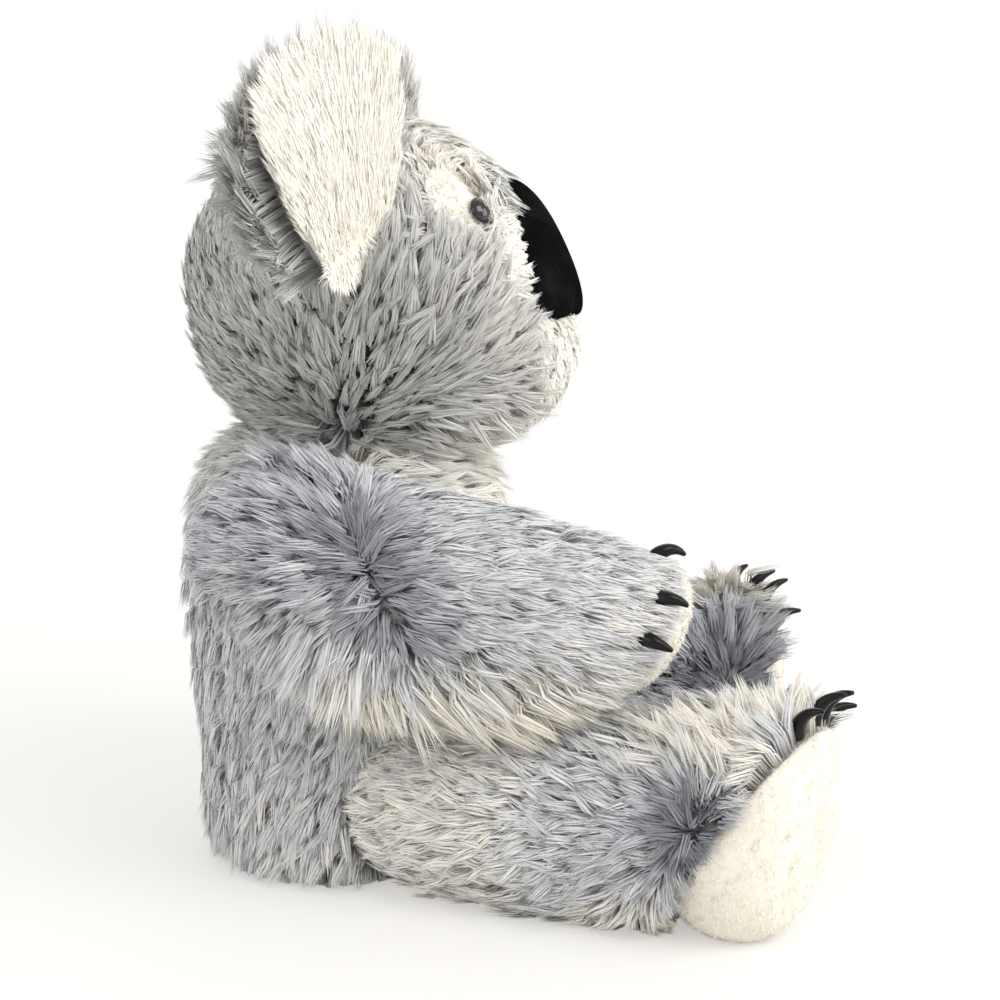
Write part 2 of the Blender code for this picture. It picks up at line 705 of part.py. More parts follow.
def leg_frames(side):
    """The leg's rings from the hip ball to the sole: centres and half axes."""
    angles = np.linspace(HIP_FIRST_ANGLE, HIP_LAST_ANGLE, HIP_RINGS)
    rows = [(-HIP_RADIUS * math.cos(angle), math.sin(angle), math.sin(angle), 0, 0) for angle in angles]
    stations = [
        (LEG_REACH * along, tall, wide, lift, tilt) for along, tall, wide, lift, tilt in LEG_STATION_SHARES
    ]
    along, tall, wide, lift, tilt = np.concatenate([rows, through(stations, LEG_RINGS)[1:]]).T
    ahead, upwards, outwards = ring_axes(side, SOLE_PITCH * tilt, SOLE_YAW * tilt)
    centres = np.stack([along, 0 * along, FOOT_LIFT * lift], 1)
    ups = upwards * (HIP_RADIUS * tall)[:, None]
    outs = outwards * (HIP_RADIUS * wide)[:, None]
    return centres, ups, outs, ahead


def pad_form(frames, dome, opens, keep_inside):
    """The pad that closes a limb's end: its outline is the last ring, its face a low dome.

    The rings open like a fan about the top of the limb's end, so the pad can be thicker below.
    """
    centre, up, out, ahead = (values[-1] for values in frames)
    tall = np.linalg.norm(up)
    shares, heights = np.array(PAD_RING_SHARES).T
    rise = np.concatenate([[0.0], PAD_EDGE + dome * heights])[:, None]
    shares = np.concatenate([[1.0], shares])[:, None]
    turn = opens * np.concatenate([[0.0], heights]) ** 0.5
    turn = turn[:, None]
    ups = up * np.cos(turn) - ahead * tall * np.sin(turn)
    aheads = ahead * np.cos(turn) + up / tall * np.sin(turn)
    centres = centre + up - ups + ahead * SEAM_GAP + aheads * rise
    rings = ellipse_points(centres, ups * shares, out * shares, LIMB_AROUND)
    return form_of(keep_inside(rings))


def claw_seat(frames, fur, angle, share):
    """Where a claw meets the fur: the place, the outward normal there and the way to the limb's end.

    The angle turns from the top of the limb's ring to its outer side, the share runs along its rings.
    """
    at = share * (len(frames[0]) - 1)
    whole = int(at)
    rest = at - whole
    centre, up, out, ahead = (Vector(row[whole] + (row[whole + 1] - row[whole]) * rest) for row in frames)
    reach = up * math.cos(angle) + out * math.sin(angle)
    place, normal, _, _ = fur.ray_cast(centre + reach + reach, -reach)
    along = (ahead - normal * ahead.dot(normal)).normalized()
    return place, normal, along


def make_claw(name, frames, fur, angle, share, hook, parent):
    """A hooked claw: a tapering tube that stands on the fur and bends towards the limb's end."""
    bend_radius, whole_turn = hook
    place, normal, along = claw_seat(frames, fur, angle, share)
    turns = [whole_turn * i / (CLAW_POINTS - 1) for i in range(CLAW_POINTS)]
    first_lean = turns[1] / 2
    first_way = normal * math.cos(first_lean) + along * math.sin(first_lean)
    across = first_way.cross(along).normalized()
    rim = [Matrix.Rotation(angle, 3, first_way) @ across * CLAW_RADIUS for angle in CLAW_RIM_ANGLES]
    lift = 0
    for point in rim:
        near, facing, _, _ = fur.find_nearest(place + point)
        lift = max(lift, facing.dot(near - place - point))
    start = place + normal * (lift + SEAM_GAP)
    curve = bpy.data.curves.new(name, "CURVE")
    curve.dimensions = "3D"
    curve.bevel_depth = CLAW_RADIUS
    curve.bevel_resolution = 1
    curve.use_fill_caps = True
    spline = curve.splines.new("POLY")
    spline.points.add(CLAW_POINTS - 1)
    for i, point in enumerate(spline.points):
        out = bend_radius * math.sin(turns[i])
        forwards = bend_radius * (1 - math.cos(turns[i]))
        point.co = (*(start + normal * out + along * forwards), 1)
        tip_share = CLAW_TIP_RADIUS / CLAW_RADIUS
        point.radius = 1 - (1 - tip_share) * (i / (CLAW_POINTS - 1)) ** CLAW_TAPER_POWER
    add_object(name, curve, BLACK_LEATHERETTE, parent)


def make_arm(side_name, side):
    """One arm on its shoulder: an open skin, its stuffing, the palm pad and four claws."""
    lowered = side_name == "left"
    turn = Euler((0, LEFT_ARM_LOWERED if lowered else 0, 0))
    seat_plane = SHOULDER_HALF_WIDTH + SEAM_GAP
    place = (SHOULDER_FORWARD, side * seat_plane, SHOULDER_HEIGHT)
    shoulder = pivot(f"{side_name}_shoulder", place, turn)
    frames = arm_frames(side, lowered)

    rings = ellipse_points(*frames[:3], LIMB_AROUND)
    outwards = side * (rings[:, :, 1] - frames[0][:, None, 1])
    rings[:, :, 1] = frames[0][:, None, 1] + side * outwards.clip(SHOULDER_FLAT - ARM_HALF_WIDTH)
    form = form_of(rings)
    fur = BVHTree.FromBMesh(form)
    band = form.faces.layers.int["band"]
    last = len(rings) - 1

    def is_sewn(face):
        touches = all(abs(vert.co.y) < SEAM_GAP for vert in face.verts)
        return not touches and face[band] != last

    sewn_panel(f"{side_name}_arm_skin", form, is_sewn, GREY_FUR, shoulder)
    filling = drawn_in(form, FABRIC_WALL + FILL_GAP)
    add_form(f"{side_name}_arm_stuffing", filling, WHITE_STUFFING, shoulder)
    pad = pad_form(frames, PALM_DOME, 0, lambda rings: rings)
    add_form(f"{side_name}_palm_pad", pad, CREAM_PLUSH, shoulder)
    for number, angle in enumerate(HAND_CLAW_ANGLES, 1):
        name = f"{side_name}_hand_claw_{number}"
        make_claw(name, frames, fur, angle, HAND_CLAW_SHARE, HAND_CLAW_HOOK, shoulder)


def make_leg(side_name, side):
    """One leg on its hip: an open skin with a ball end, its stuffing, the sole pad and four claws."""
    hip = pivot(f"{side_name}_hip", hip_place(side), (0, 0, side * LEG_SPLAY))
    frames = leg_frames(side)
    floor = -hip_place(side).z

    def above_floor(rings):
        rings[:, :, 2] = rings[:, :, 2].clip(floor)
        return rings

    rings = above_floor(ellipse_points(*frames[:3], LIMB_AROUND))
    form = form_of(rings)
    fur = BVHTree.FromBMesh(form)
    band = form.faces.layers.int["band"]
    last = len(rings) - 1
    sewn_panel(f"{side_name}_leg_skin", form, lambda face: 0 <= face[band] < last, GREY_FUR, hip)
    filling = drawn_in(form, FABRIC_WALL + FILL_GAP)
    add_form(f"{side_name}_leg_stuffing", filling, WHITE_STUFFING, hip)
    pad = pad_form(frames, SOLE_DOME, SOLE_OPENS, above_floor)
    add_form(f"{side_name}_sole_pad", pad, CREAM_PLUSH, hip)
    for number, angle in enumerate(FOOT_CLAW_ANGLES, 1):
        name = f"{side_name}_foot_claw_{number}"
        make_claw(name, frames, fur, angle, FOOT_CLAW_SHARE, FOOT_CLAW_HOOK, hip)


def main():
    clear_scene()
    make_torso()
    neck = pivot("neck", (NECK_FORWARD, 0, TORSO_HEIGHT + SEAM_GAP))
    make_head(neck)
    for side_name, side in SIDES.items():
        make_arm(side_name, side)
        make_leg(side_name, side)


main()
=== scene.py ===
"""The looks of a sitting plush koala.

Each body part is a smooth padded coat with fur on it. The fur is real locks: groups of tapered,
bent hairs whose tips run together. Nose, soles, palms, eyes and claws are smooth or short-piled.
Metres, +X the way the koala faces, +Y to its left, +Z up.
"""

import json
import logging
import math
from dataclasses import dataclass, replace
from enum import Enum

import bmesh
import bpy
import numpy as np
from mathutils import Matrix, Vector

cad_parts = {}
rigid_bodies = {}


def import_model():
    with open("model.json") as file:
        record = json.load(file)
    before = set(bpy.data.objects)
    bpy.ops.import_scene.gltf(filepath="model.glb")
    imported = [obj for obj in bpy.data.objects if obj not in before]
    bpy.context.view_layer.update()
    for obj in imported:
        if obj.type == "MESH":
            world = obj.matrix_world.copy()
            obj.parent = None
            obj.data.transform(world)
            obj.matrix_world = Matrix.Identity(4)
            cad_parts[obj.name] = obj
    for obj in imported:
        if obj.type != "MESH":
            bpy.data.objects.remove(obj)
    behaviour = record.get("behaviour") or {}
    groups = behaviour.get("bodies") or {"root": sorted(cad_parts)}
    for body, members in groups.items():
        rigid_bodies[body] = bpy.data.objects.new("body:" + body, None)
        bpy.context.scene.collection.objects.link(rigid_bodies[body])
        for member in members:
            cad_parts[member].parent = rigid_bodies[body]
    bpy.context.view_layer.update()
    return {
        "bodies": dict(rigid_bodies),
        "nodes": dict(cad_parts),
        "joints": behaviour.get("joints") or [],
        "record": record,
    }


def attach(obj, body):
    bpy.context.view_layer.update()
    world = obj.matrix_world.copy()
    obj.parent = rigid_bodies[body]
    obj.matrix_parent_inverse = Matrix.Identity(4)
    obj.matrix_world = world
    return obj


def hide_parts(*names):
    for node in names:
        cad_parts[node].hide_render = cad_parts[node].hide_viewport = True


LOG = logging.getLogger("koala")
Array = np.ndarray
Socket = bpy.types.NodeSocket
Triple = tuple[float, float, float]
Stops = tuple[tuple[float, Triple], ...]

# The least gap over the floor or another piece, the shoulders' x and z, how far both arms point
# down and the left one more than the right one, and the left hip.
CLEARANCE = 0.0003
SHOULDER = (-0.012, 0.125)
ARM_DROP = math.radians(13.5)
LEFT_ARM_LOWERED = math.radians(24)
HIP = (0.035, 0.042, 0.0305)


class Side(Enum):
    """A side of the koala, as the sign of Y."""

    RIGHT = -1
    LEFT = 1

    def named(self, piece: str) -> str:
        """The name of this side's piece."""
        return f"{self.name.lower()}_{piece}"


def linear(red: int, green: int, blue: int) -> Triple:
    """Linear colour from display values: c <= 0.04045 ? c / 12.92 : ((c + 0.055) / 1.055) ** 2.4."""
    shares = (value / 255 for value in (red, green, blue))
    return tuple(c / 12.92 if c <= 0.04045 else ((c + 0.055) / 1.055) ** 2.4 for c in shares)


def palette(*stops: tuple[float, int, int, int]) -> Stops:
    """Positions and linear colours from positions and display values."""
    return tuple((position, linear(*shade)) for position, *shade in stops)


def smooth(low: float, high: float, value: Array) -> Array:
    """Smooth step from 0 at low to 1 at high: t = clip((value - low) / (high - low), 0, 1), t t (3 - 2 t)."""
    t = np.clip((value - low) / (high - low), 0, 1)
    return t * t * (3 - 2 * t)


def unit(vectors: Array) -> Array:
    """Vectors of length 1 along the last axis: v / |v|."""
    return vectors / np.maximum(np.linalg.norm(vectors, axis=-1, keepdims=True), 1e-12)


def flattened(vectors: Array, normals: Array) -> Array:
    """The part of each vector in its tangent plane, at length 1: unit(v - n * (v . n))."""
    return unit(vectors - normals * (vectors * normals).sum(-1, keepdims=True))


def nearest(points: Array, places: Array) -> Array:
    """How far each point lies from the nearest of some places: min |p - q|."""
    return np.linalg.norm(points[:, None] - places[None], axis=-1).min(1)


def bell(value: Array, width: float | Array) -> Array:
    """1 at 0, falling to 0 on both sides: exp(-(value / width)^2)."""
    return np.exp(-((value / width) ** 2))


def mirrored(points: Array, way: Triple) -> Array:
    """One vector for all points, whose Y leads away from the koala's middle: (x, sign(p_y) y, z)."""
    made = np.tile(np.array(way, float), (len(points), 1))
    made[:, 1] *= np.sign(points[:, 1])
    return made


def rotated(points: Array, first: int, second: int, angle: float) -> Array:
    """Turns points from one axis towards another: a' = a cos t - b sin t, b' = a sin t + b cos t.

    Args:
        points: Places, the last axis of length 3.
        first: The axis a, as a number.
        second: The axis b.
        angle: t, in radians.

    Returns:
        The turned places.
    """
    made = points.copy()
    cosine, sine = math.cos(angle), math.sin(angle)
    made[..., first] = points[..., first] * cosine - points[..., second] * sine
    made[..., second] = points[..., first] * sine + points[..., second] * cosine
    return made


def away_from(points: Array, whorls: Array, fade: float) -> Array:
    """Directions that leave all whorls: the sum of (p - w) / |p - w| / (|p - w|^2 + fade^2).

    Args:
        points: Places, shape (n, 3).
        whorls: Places that the fur radiates from, shape (m, 3).
        fade: How near a whorl must be to rule alone.

    Returns:
        Unit vectors, shape (n, 3).
    """
    gone = points[:, None] - whorls[None]
    far = np.linalg.norm(gone, axis=-1, keepdims=True)
    return unit((gone / np.maximum(far, 1e-9) / (far**2 + fade**2)).sum(1))


def along_stations(stations: Array, at: Array) -> Array:
    """Reads a smooth curve through stations: cubic Hermite with central difference slopes.

    Args:
        stations: The values at whole positions, shape (m, k).
        at: Positions from 0 to m - 1.

    Returns:
        Values, shape (*at.shape, k).
    """
    slopes = np.gradient(stations, axis=0)
    low = np.clip(at.astype(int), 0, len(stations) - 2)
    t = (at - low)[..., None]
    return (
        (2 * t**3 - 3 * t**2 + 1) * stations[low]
        + (t**3 - 2 * t**2 + t) * slopes[low]
        + (3 * t**2 - 2 * t**3) * stations[low + 1]
        + (t**3 - t**2) * slopes[low + 1]
    )


def linked(name: str, data: bpy.types.ID) -> bpy.types.Object:
    """A new object of the scene with this data."""
    made = bpy.data.objects.new(name, data)
    bpy.context.scene.collection.objects.link(made)
    return made


def mesh_object(name: str, vertices: Array, faces: Array, bake_map: Array | None = None) -> bpy.types.Object:
    """Makes an object of faces that all have the same number of corners.

    Args:
        name: The piece's name.
        vertices: Places, shape (n, 3).
        faces: Vertex numbers, shape (m, corners).
        bake_map: UV of each face corner, shape (m * corners, 2), or None.

    Returns:
        The object, smooth shaded.
    """
    mesh = bpy.data.meshes.new(name)
    mesh.vertices.add(len(vertices))
    mesh.vertices.foreach_set("co", vertices.astype(np.float32).ravel())
    mesh.loops.add(faces.size)
    mesh.loops.foreach_set("vertex_index", faces.astype(np.int32).ravel())
    mesh.polygons.add(len(faces))
    mesh.polygons.foreach_set("loop_start", np.arange(0, faces.size, faces.shape[1], dtype=np.int32))
    if bake_map is not None:
        layer = mesh.uv_layers.new(name="OFBake")
        layer.data.foreach_set("uv", bake_map.astype(np.float32).ravel())
    mesh.update(calc_edges=True)
    mesh.validate()
    mesh.shade_smooth()
    return linked(name, mesh)


def welded(form: bmesh.types.BMesh, distance: float) -> None:
    """Merges points closer than the distance, and turns the faces outwards."""
    bmesh.ops.remove_doubles(form, verts=form.verts, dist=distance)
    bmesh.ops.recalc_face_normals(form, faces=form.faces)


def from_form(name: str, form: bmesh.types.BMesh) -> bpy.types.Object:
    """Turns an edited form into a smooth shaded object.

    Args:
        name: The piece's name.
        form: The form, freed here.

    Returns:
        The object.
    """
    mesh = bpy.data.meshes.new(name)
    form.to_mesh(mesh)
    form.free()
    mesh.shade_smooth()
    return linked(name, mesh)


def closed_rings(name: str, rings: Array) -> bpy.types.Object:
    """A closed piece: quads (r, i), (r, i+1), (r+1, i+1), (r+1, i) between rings, and a fan at each end.

    Args:
        name: The piece's name.
        rings: Places, shape (rings, around, 3).

    Returns:
        The object, its faces turned outwards.
    """
    count, around = rings.shape[:2]
    points = rings.reshape(-1, 3)
    step = np.arange(around)
    after = (step + 1) % around
    row = np.arange(count - 1)[:, None] * around
    quads = np.stack([row + step, row + after, row + around + after, row + around + step], -1)
    top = (count - 1) * around
    first = np.stack([after, step, np.full(around, len(points))], -1)
    last = np.stack([top + step, top + after, np.full(around, len(points) + 1)], -1)
    form = bmesh.new()
    verts = [form.verts.new(point) for point in (*points, rings[0].mean(0), rings[-1].mean(0))]
    for face in (*quads.reshape(-1, 4).tolist(), *first.tolist(), *last.tolist()):
        form.faces.new([verts[i] for i in face])
    welded(form, 1e-6)
    return from_form(name, form)


def refined_copy(node: str, name: str, levels: int = 2) -> bpy.types.Object:
    """A merged, subdivided copy of a CAD node's mesh.

    Args:
        node: The node.
        name: The copy's name.
        levels: Subdivision levels.

    Returns:
        The object.
    """
    form = bmesh.new()
    form.from_mesh(bpy.data.objects[node].data)
    welded(form, 1e-5)
    bmesh.ops.join_triangles(
        form, faces=form.faces, angle_face_threshold=math.radians(50), angle_shape_threshold=math.radians(60)
    )
    made = from_form(name, form)
    smoothing = made.modifiers.new("smooth", "SUBSURF")
    smoothing.levels = levels
    smoothing.render_levels = levels
    return made


class Nodes:
    """A node tree, with short ways to add to it."""

    def __init__(self, tree: bpy.types.NodeTree) -> None:
        """Takes the tree."""
        self.tree = tree

    def node(self, kind: str, **settings) -> bpy.types.Node:
        """Adds a node and sets its properties."""
        made = self.tree.nodes.new(kind)
        for name, value in settings.items():
            setattr(made, name, value)
        return made

    def join(self, output: Socket, socket: Socket) -> None:
        """Links an output to an input."""
        self.tree.links.new(output, socket)

    def either(self, factor: Socket, first: Socket, second: Socket) -> Socket:
        """The first shader where the factor is 0, the second where it is 1."""
        mix = self.node("ShaderNodeMixShader")
        for output, socket in zip((factor, first, second), mix.inputs):
            self.join(output, socket)
        return mix.outputs["Shader"]

    def seen(self, others: Socket, camera: Socket) -> Socket:
        """The second shader for the camera's own rays, the first for all others."""
        return self.either(self.node("ShaderNodeLightPath").outputs["Is Camera Ray"], others, camera)


class Shader(Nodes):
    """A Principled material that is built node by node."""

    def __init__(self, name: str, roughness: float, sheen: float = 0.0, coat: float = 0.0) -> None:
        """Starts a material with constant gloss settings."""
        self.material = bpy.data.materials.new(name)
        self.material.use_nodes = True
        super().__init__(self.material.node_tree)
        self.surface = self.tree.nodes["Principled BSDF"]
        self.surface.inputs["Roughness"].default_value = roughness
        self.surface.inputs["Sheen Weight"].default_value = sheen
        self.surface.inputs["Sheen Roughness"].default_value = 0.6
        self.surface.inputs["Coat Weight"].default_value = coat

    def noise(self, size: float, detail: float, roughness: float = 0.6) -> Socket:
        """Noise over Object coordinates.

        Args:
            size: About how large its features are, in metres.
            detail: How many finer layers it has.
            roughness: How strong these are.

        Returns:
            The noise, from 0 to 1.
        """
        noise = self.node("ShaderNodeTexNoise")
        noise.inputs["Scale"].default_value = 1 / size
        noise.inputs["Detail"].default_value = detail
        noise.inputs["Roughness"].default_value = roughness
        self.join(self.node("ShaderNodeTexCoord").outputs["Object"], noise.inputs["Vector"])
        return noise.outputs["Fac"]

    def ramp(self, factor: Socket, *stops: tuple[float, Triple]) -> Socket:
        """Colours over a factor from 0 to 1.

        Args:
            factor: The factor.
            stops: Positions and their colours.

        Returns:
            The colour.
        """
        ramp = self.node("ShaderNodeValToRGB")
        elements = ramp.color_ramp.elements
        while len(elements) < len(stops):
            elements.new(0.5)
        for element, (position, colour) in zip(elements, stops):
            element.position = position
            element.color = (*colour, 1)
        self.join(factor, ramp.inputs["Fac"])
        return ramp.outputs["Color"]

    def mixed(self, factor: Socket | float, first: Socket, second: Socket) -> Socket:
        """Mixes two colours.

        Args:
            factor: The second colour's share, linked or constant.
            first: The first colour.
            second: The second colour.

        Returns:
            The mixed colour.
        """
        mix = self.node("ShaderNodeMix", data_type="RGBA")
        if isinstance(factor, float):
            mix.inputs["Factor"].default_value = factor
        else:
            self.join(factor, mix.inputs["Factor"])
        self.join(first, mix.inputs["A"])
        self.join(second, mix.inputs["B"])
        return mix.outputs["Result"]

    def bump(self, height: Socket, depth: float, strength: float) -> None:
        """Presses a height from 0 to 1 into the surface.

        Args:
            height: The height.
            depth: What 1 stands for, in metres.
            strength: How much of it counts.
        """
        bump = self.node("ShaderNodeBump")
        bump.inputs["Strength"].default_value = strength
        bump.inputs["Distance"].default_value = depth
        self.join(height, bump.inputs["Height"])
        self.join(bump.outputs["Normal"], self.surface.inputs["Normal"])

    def glow(self, colour: Triple, strength: float = 1.0) -> Socket:
        """Light of one colour."""
        light = self.node("ShaderNodeEmission")
        light.inputs["Color"].default_value = (*colour, 1)
        light.inputs["Strength"].default_value = strength
        return light.outputs["Emission"]

    def colour(self, output: Socket) -> None:
        """Sets the base colour."""
        self.join(output, self.surface.inputs["Base Color"])


@dataclass(frozen=True)
class Finish:
    """A material under its own name, made once."""

    name: str

    def material(self) -> bpy.types.Material:
        """The material, built when it is first asked for."""
        return bpy.data.materials.get(self.name) or self.built().material

    def built(self) -> Shader:
        """Builds the material."""
        raise NotImplementedError


@dataclass(frozen=True)
class FurFinish(Finish):
    """Fur whose colour runs from root to tip, over a palette of tones from 0, dark, to 1, pale."""

    roots: Stops
    tips: Stops
    turn: tuple[float, float] = (0.10, 0.62)

    def built(self) -> Shader:
        """Mixes root(tone) and tip(tone) by step(height), both read from the fur's own map."""
        shader = Shader(self.name, roughness=0.85, sheen=0.25)
        parts = shader.node("ShaderNodeSeparateXYZ")
        shader.join(shader.node("ShaderNodeUVMap", uv_map="OFBake").outputs["UV"], parts.inputs["Vector"])
        root = shader.ramp(parts.outputs["X"], *self.roots)
        tip = shader.ramp(parts.outputs["X"], *self.tips)
        low, high = self.turn
        step = shader.ramp(parts.outputs["Y"], (low, (0, 0, 0)), (high, (1, 1, 1)))
        shader.colour(shader.mixed(step, root, tip))
        return shader


@dataclass(frozen=True)
class CoatFinish(Finish):
    """The fabric under the fur, in the shade of the fur's roots, or a plain inner cloth."""

    dark: Triple
    light: Triple
    pale: Triple | None = None

    def built(self) -> Shader:
        """Two shades over fine noise with a pressed weave, and pale where "white" is 1."""
        shader = Shader(self.name, roughness=0.95, sheen=0.2)
        noise = shader.noise(0.0025, 3)
        weave = shader.ramp(noise, (0.35, self.dark), (0.65, self.light))
        if self.pale:
            white = shader.node("ShaderNodeAttribute", attribute_name="white").outputs["Fac"]
            cream = shader.ramp(noise, (0.2, tuple(0.9 * c for c in self.pale)), (0.7, self.pale))
            weave = shader.mixed(white, weave, cream)
        shader.colour(weave)
        shader.bump(noise, 0.001, 0.6)
        return shader


@dataclass(frozen=True)
class PlushFinish(Finish):
    """Short pile: soft lighter and darker areas, a painted sheen of pile that lies either way, and a fine
    grain.
    """

    shade: Triple
    body: Triple
    light: Triple
    grain: float = 0.0009
    grain_share: float = 0.35
    roughness: float = 0.9
    sheen: float = 0.35
    matte: bool = False

    def built(self) -> Shader:
        """Three shades over broad noise as painted sheen, with grain in colour and bump, and no highlight if
        matte.
        """
        shader = Shader(self.name, roughness=self.roughness, sheen=self.sheen)
        if self.matte:
            shader.surface.inputs["Specular IOR Level"].default_value = 0.0
            shader.surface.inputs["IOR"].default_value = 1.0
        broad = shader.noise(0.012, 3, 0.55)
        grain = shader.noise(self.grain, 2, 0.7)
        # The broad lighter and darker areas are painted sheen of the pile, in the base colour.
        painted_sheen = shader.ramp(broad, (0.3, self.shade), (0.5, self.body), (0.72, self.light))
        flecks = shader.ramp(grain, (0.3, self.shade), (0.6, self.light))
        shader.colour(shader.mixed(self.grain_share, painted_sheen, flecks))
        shader.bump(grain, 0.0005, 0.5)
        return shader


@dataclass(frozen=True)
class GlossFinish(Finish):
    """Smooth black trim: glass-like eyes, or leatherette with a fine grain."""

    dark: Triple
    light: Triple
    roughness: float
    coat: float
    grain: float
    specular: float = 0.5

    def built(self) -> Shader:
        """Two near blacks over noise, with a shallow grain."""
        shader = Shader(self.name, roughness=self.roughness, coat=self.coat)
        shader.surface.inputs["Specular IOR Level"].default_value = self.specular
        noise = shader.noise(self.grain, 4)
        shader.colour(shader.ramp(noise, (0.35, self.dark), (0.7, self.light)))
        shader.bump(noise, 0.0002, 0.25)
        return shader


HEAD_FUR = FurFinish(
    "head_fur",
    roots=palette((0.0, 84, 84, 85), (0.5, 128, 128, 128), (0.8, 180, 176, 169), (1.0, 234, 227, 211)),
    tips=palette(
        (0.0, 152, 152, 150),
        (0.3, 196, 197, 195),
        (0.55, 223, 222, 219),
        (0.8, 240, 236, 229),
        (1.0, 253, 249, 239),
    ),
)
LIMB_FUR = FurFinish(
    "limb_fur",
    roots=palette((0.0, 70, 72, 78), (0.5, 128, 129, 134), (0.8, 178, 174, 167), (1.0, 226, 218, 203)),
    tips=palette(
        (0.0, 126, 129, 137),
        (0.3, 194, 196, 201),
        (0.55, 224, 225, 227),
        (0.8, 240, 236, 228),
        (1.0, 252, 247, 236),
    ),
)
WHITE_FUR = FurFinish(
    "white_fur",
    roots=palette((0.0, 238, 230, 213), (1.0, 249, 244, 232)),
    tips=palette((0.0, 249, 243, 229), (1.0, 255, 253, 247)),
)
PILE = FurFinish(
    "pad_pile",
    roots=palette((0.0, 238, 232, 219), (1.0, 245, 240, 229)),
    tips=palette((0.0, 247, 243, 232), (1.0, 252, 249, 241)),
)
GREY_COAT = CoatFinish("grey_coat", linear(118, 119, 122), linear(150, 150, 153), linear(246, 240, 225))
WHITE_COAT = CoatFinish("white_coat", linear(228, 219, 200), linear(244, 237, 222))
FIBRE = CoatFinish("stuffing_fibre", linear(214, 212, 206), linear(240, 239, 234))
CLOTH = CoatFinish("bag_cloth", linear(186, 184, 176), linear(206, 204, 196))
WASHER = CoatFinish("washer_white", linear(200, 200, 196), linear(220, 220, 216))
# The lightest of each plush's three shades is painted sheen of the pile, spread over broad noise.
CREAM_PLUSH = PlushFinish("pad_plush", linear(230, 223, 208), linear(240, 234, 221), linear(249, 244, 234))
EYE_PLUSH = PlushFinish("eye_plush", linear(232, 224, 208), linear(244, 239, 228), linear(252, 249, 242))
# The black velour has no sheen or highlight in its shader; its lighter shades are painted sheen.
VELOUR = PlushFinish(
    "nose_velour",
    linear(6, 6, 7),
    linear(14, 14, 15),
    linear(30, 30, 31),
    grain=0.0006,
    roughness=1.0,
    sheen=0.0,
    matte=True,
)
EYE_GLOSS = GlossFinish(
    "eye_gloss", linear(14, 13, 14), linear(30, 27, 28), roughness=0.12, coat=0.6, grain=0.004
)
CLAW_GLOSS = GlossFinish(
    "claw_gloss", linear(4, 3, 4), linear(16, 13, 15), roughness=0.3, coat=0.1, grain=0.0012, specular=0.22
)


class Form:
    """A body part's surface S(u, v), u round it and v along it, both from 0 to 1, in its own place.

    The methods from comb on say how fur grows at points of the surface, shape (n, 3), in that
    own place. Here they give a pile that is the same all over: which way it lies, its length,
    its angle and its shade.
    """

    lay: Triple = (0.0, 0.0, -1.0)
    pile: float = 0.002
    angle: float = math.radians(28)
    shade: float = 1.0

    def points(self, u: Array, v: Array) -> Array:
        """Places on the surface, shape (*u.shape, 3)."""
        raise NotImplementedError

    def placed(self, points: Array) -> Array:
        """Moves points from the part's own place to the koala's."""
        return points

    def frames(self, u: Array, v: Array) -> tuple[Array, Array, Array, Array]:
        """Place, dS/du, dS/dv and outward normal, the derivatives by central differences.

        Args:
            u: Shares round the part.
            v: Shares along the part.

        Returns:
            Four arrays of shape (n, 3).
        """
        step = 1e-3
        across = (self.points(u + step, v) - self.points(u - step, v)) / (2 * step)
        low, high = np.maximum(v - step, 0), np.minimum(v + step, 1)
        along = (self.points(u, high) - self.points(u, low)) / (high - low)[..., None]
        return self.points(u, v), across, along, unit(np.cross(across, along)) * self.facing()

    def facing(self) -> float:
        """1 where dS/du x dS/dv points outwards, otherwise -1."""
        return 1.0

    def mesh(self, name: str, around: int, rings: int) -> bpy.types.Object:
        """The closed coat, u round and v along at even shares, with its white share as an attribute.

        Args:
            name: The piece's name.
            around: Points round it.
            rings: Points along it.

        Returns:
            The object.
        """
        u, v = np.meshgrid(np.linspace(0, 1, around, endpoint=False), np.linspace(0, 1, rings))
        made = closed_rings(name, self.placed(self.points(u, v)))
        places = np.empty(len(made.data.vertices) * 3)
        made.data.vertices.foreach_get("co", places)
        share = made.data.attributes.new("white", "FLOAT", "POINT")
        share.data.foreach_set("value", self.white(places.reshape(-1, 3)).astype(np.float32))
        return made

    def white(self, points: Array) -> Array:
        """1 where the coat is white, 0 where it is grey, at points in the koala's place."""
        return np.zeros(len(points))

    def comb(self, points: Array) -> Array:
        """The way the fur lies."""
        return np.array(self.lay)

    def nap(self, points: Array) -> Array | float:
        """The fur's length."""
        return self.pile

    def rise(self, points: Array) -> Array | float:
        """The angle between the fur's tips and the coat, in radians."""
        return self.angle

    def tone(self, points: Array) -> Array | float:
        """The fur's place in its palette, from 0 to 1."""
        return self.shade

    def grows(self, points: Array) -> Array | float:
        """How densely the fur grows, 0 where it doesn't."""
        return 1.0


